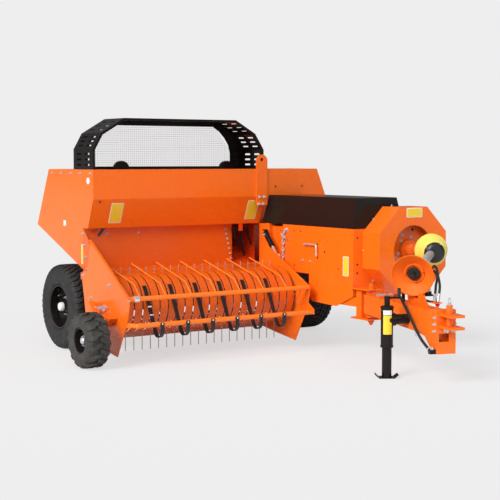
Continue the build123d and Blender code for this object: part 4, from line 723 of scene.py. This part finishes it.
def chamber_pieces():
    """Chain, handle, bolts, painted shade in holes and window post on the chamber's right side, and the bolts of the
    box and shield.
    """
    hung = Shape()
    link_length, link_wire = 0.044, 0.0048
    hung.bolt((CHAMBER_SIDE_X, -0.032, 1.051), -X, 0.030)
    chain(hung, [(0.650, -0.032, 1.045), (0.650, 0.012, 1.010), (0.648, -0.002, 0.985), (0.648, -0.002, 0.951),
                 (0.650, 0.001, 0.873), (0.650, 0.007, 0.774)], link_length, link_wire)
    chain(hung, [(0.640, 0.012, 1.004), (0.638, -0.055, 0.968)], link_length, link_wire)
    handle_x = 0.640
    hung.path([(CHAMBER_SIDE_X, -0.319, 0.937), (0.648, -0.321, 0.937), (handle_x, -0.330, 0.937),
               (handle_x, -0.500, 0.939), (handle_x, -0.514, 0.935), (handle_x, -0.521, 0.925),
               (handle_x, -0.522, 0.841)], 0.0075, 10)
    bolt_row(hung, [(CHAMBER_SIDE_X, -0.284, 0.787), (CHAMBER_SIDE_X, -0.398, 0.784)], -X, 0.016)
    bolt_row(hung, [(0.752, BOX_FRONT_Y, 0.582), (0.808, BOX_FRONT_Y, 0.544)], -Y, 0.022)
    hung.bolt((1.075, SHIELD_CENTRE.y, SHIELD_CENTRE.z + SHIELD_HALF), Z, 0.014, washer=False)
    for degrees in (0, 45, 135, 180, 225, 315):
        out = spoke(X, Z, math.radians(degrees))
        hung.bolt(SHIELD_CENTRE + out * SHIELD_HALF, out, 0.014, washer=False)
    hung.done("chamber_fittings", ZINC, "root", slot="zinc")
    # Dark discs: painted shade inside the holes of the chamber side and the box front
    hole_shades = Shape()
    for y, z, radius in ((-0.149, 1.046, 0.008), (-0.247, 1.045, 0.008), (-0.612, 0.882, 0.010), (-0.505, 0.942, 0.009),
                         (-0.506, 0.822, 0.009), (-0.155, 0.731, 0.009), (0.072, 1.043, 0.006), (-0.652, 0.982, 0.005),
                         (-0.809, 0.979, 0.006), (-0.811, 0.746, 0.007), (-0.653, 0.749, 0.005)):
        hole_shades.disc((CHAMBER_SIDE_X, y, z), -X, radius)
    for z in (1.024, 0.795, 0.721):
        hole_shades.disc((0.711, BOX_FRONT_Y, z), -Y, 0.009)
    hole_shades.done("chamber_hole_shades", DARK, "root")
    post = Shape().block((0.6625, 0.300, 0.664), (0.6645, 0.419, 1.094))
    post.done("window_post", ORANGE, "root", slot="orange")
    seam = Shape()
    seam.path([(0.664, -0.132, 0.676), (0.664, -0.368, 0.673)], 0.0022, 6)
    seam.done("chamber_seam", CAST, "root", slot="orange")


def pickup_pieces():
    """Tine coils, plate bolts, the arm's U-bolt, the wire over the bands, and the straps' rivets and clips."""
    coils = Shape()
    bar_circle, coil_radius, coil_width, coil_wire = 0.165, 0.0175, 0.020, 0.0028
    for bar_angle in (28, 118, 208, 298):
        bar = REEL + spoke(Y, Z, math.radians(bar_angle)) * bar_circle
        for column in range(TINE_COLUMNS):
            start_x = FIRST_TINE_X + TINE_PITCH * column + 0.004
            turns = [bar + X * (start_x + coil_width * i / 24) + spoke(Y, Z, TURN * i / 8) * coil_radius
                     for i in range(25)]
            coils.path(turns, coil_wire, 5)
    coils.done("tine_coils", STEEL, "reel", slot="zinc")

    bolts = Shape()
    bolt_row(bolts, [(PICKUP_SIDE_X, y, z) for y, z in ((-0.195, 0.654), (0.151, 0.517), (0.206, 0.165),
                                                        (0.300, 0.700))], -X, 0.022)
    bolts.bolt((PICKUP_SIDE_X, -0.542, 0.562), -X, 0.014)
    bolt_row(bolts, [(0.554, -0.307, 0.489), (0.554, -0.352, 0.555), (0.554, -0.413, 0.540)], -X, 0.020)
    u_bolt_z, u_bolt_wire = 0.468, 0.006
    for y in (-0.066, -0.172):
        bolts.bar((-1.236, y, u_bolt_z), (-1.318, y, u_bolt_z), u_bolt_wire, 10)
        bolts.lathe([(0, 0.012), (0.010, 0.012)], (-1.306, y, u_bolt_z), -X, 6, closed=False)
    bolts.path([(x, y, u_bolt_z) for x, y in ((-1.318, -0.066), (-1.326, -0.072), (-1.328, -0.119), (-1.326, -0.166),
                                             (-1.318, -0.172))], u_bolt_wire, 10)
    bolts.lathe([(0, 0.028), (0.014, 0.028), (0.014, 0.017), (0, 0.017)], (PICKUP_SIDE_X, REEL.y, REEL.z), -X, 28)
    wire = between((-1.12, -0.352, 0.548), (0.53, -0.352, 0.548), 25)
    wire_sag = 0.012
    for i, point in enumerate(wire):
        point.z -= wire_sag * math.sin(math.pi * i / 24)
    bolts.path(wire, 0.0016, 6)
    bolts.done("pickup_fittings", ZINC, "pickup", slot="zinc")

    bush = Shape()
    bush.lathe([(0, 0.0208), (0, 0.0265), (0.044, 0.0265), (0.044, 0.0208)], (-1.192, -0.520, 0.565), X, 32)
    bush.done("windguard_bush", CHROME, "windguard", slot="zinc")

    rivets = Shape()
    first_band_x = FIRST_TINE_X + (TINE_PITCH - BAND_WIDTH) / 2
    strap_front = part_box("straps")[0]
    out = spoke(Y, Z, math.radians(214))
    for band in range(2, 18, 3):
        x = first_band_x + TINE_PITCH * band + BAND_WIDTH / 2
        rivets.rivet(BANDS + X * x + out * 0.2492, out)
        rivets.rivet((x, strap_front.y - 0.0002, strap_front.z + 0.118), -Y)
    out = Vector((0, -0.892, 0.451))
    for y, z in ((-0.3771, 0.476), (-0.4104, 0.410), (-0.4428, 0.346)):
        rivets.plate(Vector((-0.9680, y, z)) + out * 0.0031, X, out.cross(X), 0.036, 0.012, 0.0012, 0.002)
    rivets.done("strap_rivets", WHITE, "pickup")
    # A dark disc: painted shade inside a hole in the plate
    hole = Shape().disc((PICKUP_SIDE_X, -0.545, 0.534), -X, 0.007, 16)
    hole.done("plate_hole_shade", DARK, "pickup")


def lift_pieces():
    """The cylinder's gland and its oil port."""
    head, foot = Vector((0.625, 0.262, 1.020)), Vector((0.625, 0.060, 0.800))
    along = (foot - head).normalized()
    gland = Shape().lathe([(0.150, 0.0245), (0.150, 0.0265), (0.172, 0.0265), (0.176, 0.020), (0.176, 0.0125)], head,
                          along, 28)
    gland.done("lift_gland", BLACK, "lift_barrel", slot="black_paint")
    port_seat = head + along * 0.035 - X * 0.022
    port = Shape().lathe([(0, 0.011), (0.016, 0.011), (0.016, 0.008), (0.024, 0.008)], port_seat, -X, 20,
                         closed=False)
    port.done("lift_port", ZINC, "lift_barrel", slot="zinc")


def driveline_pieces():
    """Bolts of the flywheel and painted shade in its holes, the cone's ribs and screws, the splines, and the dish's rim
    and screws.
    """
    # The dark discs are painted shade inside the flywheel's holes
    bolts, hole_shades = Shape(), Shape()
    for step in range(6):
        bolts.bolt(FLYWHEEL_HUB + spoke(X, Z, TURN * (step + 0.25) / 6) * 0.112, -Y, 0.020)
    for step in range(4):
        turn = TURN * (step + 0.30) / 4
        bolts.bolt(FLYWHEEL_HUB + spoke(X, Z, turn) * 0.152, -Y, 0.022)
        hole_shades.disc(FLYWHEEL_HUB + spoke(X, Z, turn + 0.8) * 0.182, -Y, 0.013, 24)
    bolts.done("flywheel_bolts", ZINC, "flywheel", slot="zinc")
    hole_shades.done("flywheel_hole_shades", DARK, "flywheel")

    lean, drop = math.radians(30), 0.08
    cone = Vector((-math.sin(lean), -math.cos(lean), -drop)).normalized()
    side, other = across_of(cone)
    ribs = Shape()
    for along, radius in ((-0.072, 0.140), (-0.045, 0.1287), (-0.018, 0.1175), (0.009, 0.1063), (0.036, 0.0950),
                          (0.060, 0.0860)):
        ribs.lathe([(along, radius - 0.001), (along, radius + 0.0022), (along + 0.006, radius + 0.0002),
                    (along + 0.006, radius - 0.0035)], JOINT, cone, 64)
    ribs.done("cone_ribs", CONE, "driveline")
    screws = Shape()
    for step in range(4):
        out = spoke(side, other, TURN * (step + 0.2) / 4)
        screws.bolt(JOINT + cone * 0.084 + out * 0.085, out, 0.014, washer=False)
    screws.done("collar_screws", ZINC, "driveline", slot="zinc")

    turned, tilt = math.radians(52.5), math.radians(15)
    way = Vector((-math.sin(turned) * math.cos(tilt), -math.cos(turned) * math.cos(tilt), -math.sin(tilt)))
    side, other = across_of(way)
    spline = Shape()
    tooth_near, tooth_far, tooth_half = 0.024, 0.058, 0.0035
    tooth = [(tooth_near, -tooth_half), (tooth_far, -tooth_half), (tooth_far, tooth_half), (tooth_near, tooth_half)]
    for step in range(6):
        out = spoke(side, other, TURN * step / 6)
        spline.prism(tooth, DISH + out * 0.0162, way, way.cross(out), 0.0012)
    spline.done("input_spline", STEEL, "input_stub", slot="bare_steel")
    ring = Shape()
    ring.lathe([(0.059, 0.1655), (0.063, 0.168), (0.063, 0.170), (0.056, 0.1705), (0.055, 0.167)], DISH, way, 72)
    ring.done("dish_rim", SATIN, "drawbar", slot="orange")
    screws = Shape()
    for step in range(4):
        screws.bolt(DISH + way * 0.002 + spoke(side, other, TURN * (step + 0.5) / 4) * 0.073, way, 0.012)
    screws.done("dish_screws", SATIN, "drawbar", slot="orange")


def tongue_pieces():
    """Bolts, pins and weld beads of the tongue and its head."""
    bolts = Shape()
    for u, v in ((1.368, 0.519), (1.362, 0.468), (1.363, 0.416)):
        for way in (1, -1):
            bolts.bolt(hitch(u, v, way * 0.080), ASIDE * way, 0.019)
    pin_u, lock_u, lock_z = 1.438, 0.400, 0.591
    for u in (1.430, 1.470):
        for w in (0.030, -0.030):
            bolts.bolt(hitch(u, 0.445, w), -Z, 0.026)
    for u in (1.352, 1.374):
        bolts.bolt(hitch(u, 0.282, 0.104), Z, 0.016)
    bolts.bar(hitch(pin_u, 0.610, 0), hitch(pin_u, 0.634, 0), 0.013)
    bolts.path(circle(hitch(pin_u, 0.650, 0), ALONG, Z, 0.020, 20), 0.0028, 8, closed=True)
    bolts.bar(hitch(lock_u, lock_z, -0.022), hitch(lock_u, lock_z, 0.118), 0.010)
    bolts.bar(hitch(lock_u, lock_z, 0.118), hitch(lock_u, lock_z, 0.124), 0.014)
    bolts.path(circle(hitch(1.005, 0.353, 0.060), ALONG, Z, 0.021, 20), 0.0026, 8, closed=True)
    bolts.done("tongue_bolts", ZINC, "drawbar", slot="zinc")
    pin_lugs = Shape()
    for w in (-0.004, 0.056):
        pin_lugs.prism([(0.380, 0.5595), (0.420, 0.5595), (0.414, 0.608), (0.386, 0.608)], PIVOT + ASIDE * w, ALONG,
                       Z, -0.008)
    pin_lugs.done("lock_pin_lugs", ORANGE, "drawbar", bevel=0.001, slot="orange")

    beads = Shape()
    bead = 0.0032
    for w in (-0.0815, 0.0815):
        beads.path(between(hitch(1.331, 0.262, w), hitch(1.331, 0.570, w), 24), bead, 6)
    for v in (0.445, 0.465, 0.535, 0.555):
        beads.path(between(hitch(1.390, v, -0.058), hitch(1.390, v, 0.058), 16), bead, 6)
    beads.done("tongue_welds", ORANGE, "drawbar", slot="orange")

    nuts = Shape()
    nuts.bolt(PIVOT + Z * 0.617, Z, 0.040, 0.5)
    nuts.bolt(PIVOT + Z * 0.323, -Z, 0.040, 0.5)
    nuts.done("pivot_nuts", ORANGE, "root", slot="orange")


def jack_pieces():
    """Collars, grip and blank plates of the jack, pale steel lips on its foot's ends as painted highlight, and its pin.
    """
    rings = Shape()
    tube = 0.047
    rings.lathe([(0.240, tube), (0.240, 0.051), (0.256, 0.051), (0.256, tube)], JACK, Z, 40)
    rings.lathe([(0.544, tube), (0.544, 0.052), (0.560, 0.052), (0.566, 0.040), (0.566, 0.020)], JACK, Z, 40)
    rings.done("jack_collars", BLACK, "jack", slot="black_paint")
    crank_end = Vector((0.330, -2.025, 0))
    grip = Shape().lathe([(0.630, 0.010), (0.632, 0.013), (0.696, 0.013), (0.700, 0.009), (0.700, 0.0005)], crank_end,
                         Z, 20, closed=False)
    grip.done("jack_grip", COLLAR, "jack")
    front = Vector((-0.552, -0.834, 0))
    toward, arc_angle = math.atan2(front.y, front.x), 1.5
    for name, material, low, high in (("jack_plate", YELLOW, 0.345, 0.492), ("jack_strip", WHITE, 0.496, 0.532)):
        arc = [spoke(X, Y, toward + arc_angle * (i / 14 - 0.5)) for i in range(15)]
        outline = [JACK + out * 0.0487 for out in arc] + [JACK + out * 0.0479 for out in reversed(arc)]
        sticker = Shape().rings([[point + Z * z for point in outline] for z in (low, high)])
        sticker.done(name, material, "jack")
    # Pale steel plates on the foot's upturned ends stand in for the highlight there: painted highlight
    glint_plates = Shape()
    across = Z.cross(front)
    foot_half, lip_length = 0.0455, 0.0395
    for sign in (-1, 1):
        glint_plates.prism([(-foot_half, 0), (foot_half, 0), (foot_half, lip_length), (-foot_half, lip_length)],
                   JACK + across * sign * 0.0595 + Z * 0.0012, Z.cross(across),
                   (across * sign * 32 + Z * 28).normalized(), 0.0014 * sign)
    glint_plates.done("jack_glint_plates", STEEL, "jack_leg", slot="bare_steel")
    pin = Shape()
    pin.bolt(hitch(0.895, 0.500, 0.195), Z, 0.014, washer=False)
    pin.done("jack_pin", ZINC, "drawbar", slot="zinc")


housing_pieces()
chamber_pieces()
pickup_pieces()
lift_pieces()
driveline_pieces()
tongue_pieces()
jack_pieces()


# Stage

def sun(name, energy, direction, spread_angle, colour):
    """A soft lamp that shines along a direction."""
    data = bpy.data.lights.new(name, "SUN")
    data.energy = energy
    data.color = colour
    data.angle = math.radians(spread_angle)
    made = bpy.data.objects.new(name, data)
    made.rotation_euler = Vector(direction).to_track_quat("-Z", "Y").to_euler()
    bpy.context.scene.collection.objects.link(made)


def surroundings(pale):
    """An even pale world for the camera, greyer where it lights and where it is mirrored."""
    world = bpy.data.worlds.new("studio")
    bpy.context.scene.world = world
    world.use_nodes = True
    tree = world.node_tree
    place = add(tree, "ShaderNodeTexCoord").outputs["Generated"]
    height = add(tree, "ShaderNodeSeparateXYZ", vector=place).outputs["Z"]
    sky = blend_colours(tree, spread(tree, height, 0, 1, -0.1, 0.9), (0.36, 0.37, 0.39), (0.48, 0.49, 0.52))
    rays = add(tree, "ShaderNodeLightPath")
    glossy = blend_colours(tree, rays.outputs["Is Glossy Ray"], sky, (0.16, 0.16, 0.17))
    seen = add(tree, "ShaderNodeMath", operation="MAXIMUM")
    tree.links.new(rays.outputs["Is Camera Ray"], seen.inputs[0])
    tree.links.new(rays.outputs["Is Transmission Ray"], seen.inputs[1])
    colour = blend_colours(tree, seen.outputs[0], glossy, (pale, pale, pale))
    tree.links.new(colour, tree.nodes["Background"].inputs[0])


def pale_floor(pale):
    """A floor that keeps the shadow and fades into the surroundings far from the machine."""
    reach, below, fade_start, fade_end = 60, 0.001, 2.5, 5.5
    floor = bpy.data.meshes.new("floor")
    floor.from_pydata([(-reach, -reach, 0), (reach, -reach, 0), (reach, reach, 0), (-reach, reach, 0)], [],
                      [(0, 1, 2, 3)])
    ground = bpy.data.objects.new("floor", floor)
    ground.location.z = -below
    bpy.context.scene.collection.objects.link(ground)
    material, tree, shader = new_tree("floor_pale")
    speckle = blend_colours(tree, noise(tree, 6, 5), (0.80, 0.80, 0.80), (0.82, 0.82, 0.82))
    tree.links.new(speckle, shader.inputs["Base Color"])
    shader.inputs["Roughness"].default_value = 0.95
    shader.inputs["Specular IOR Level"].default_value = 0.1
    place = add(tree, "ShaderNodeTexCoord").outputs["Object"]
    away = add(tree, "ShaderNodeVectorMath", operation="LENGTH")
    tree.links.new(place, away.inputs[0])
    far = spread(tree, away.outputs["Value"], 0.72, 1, fade_start, fade_end)
    glow = add(tree, "ShaderNodeEmission", color=(pale, pale, pale, 1), strength=1.0)
    rays = add(tree, "ShaderNodeLightPath")
    fade = times(tree, far, rays.outputs["Is Camera Ray"])
    both = add(tree, "ShaderNodeMixShader")
    tree.links.new(fade, both.inputs[0])
    tree.links.new(shader.outputs[0], both.inputs[1])
    tree.links.new(glow.outputs[0], both.inputs[2])
    tree.links.new(both.outputs[0], tree.nodes["Material Output"].inputs[0])
    floor.materials.append(material)


def stage():
    """Surroundings, floor, two soft lamps and the photo's camera."""
    pale = 0.855
    surroundings(pale)
    pale_floor(pale)
    sun("key", 3.15, (0.80, 0.26, -0.54), 30, (1.0, 0.985, 0.955))
    sun("fill", 0.65, (0.10, 0.80, -0.59), 40, (1, 1, 1))

    place, dip, turned = (-6.04, -9.55, 1.69), 4.06, 33.5
    camera = bpy.data.cameras.new("camera")
    camera.sensor_width = 36
    camera.lens = 91.2
    view = bpy.data.objects.new("camera", camera)
    view.location = place
    view.rotation_euler = (math.radians(90 - dip), 0, math.radians(-turned))
    bpy.context.scene.collection.objects.link(view)
    bpy.context.scene.camera = view
    bpy.context.scene.view_settings.view_transform = "Standard"


stage()
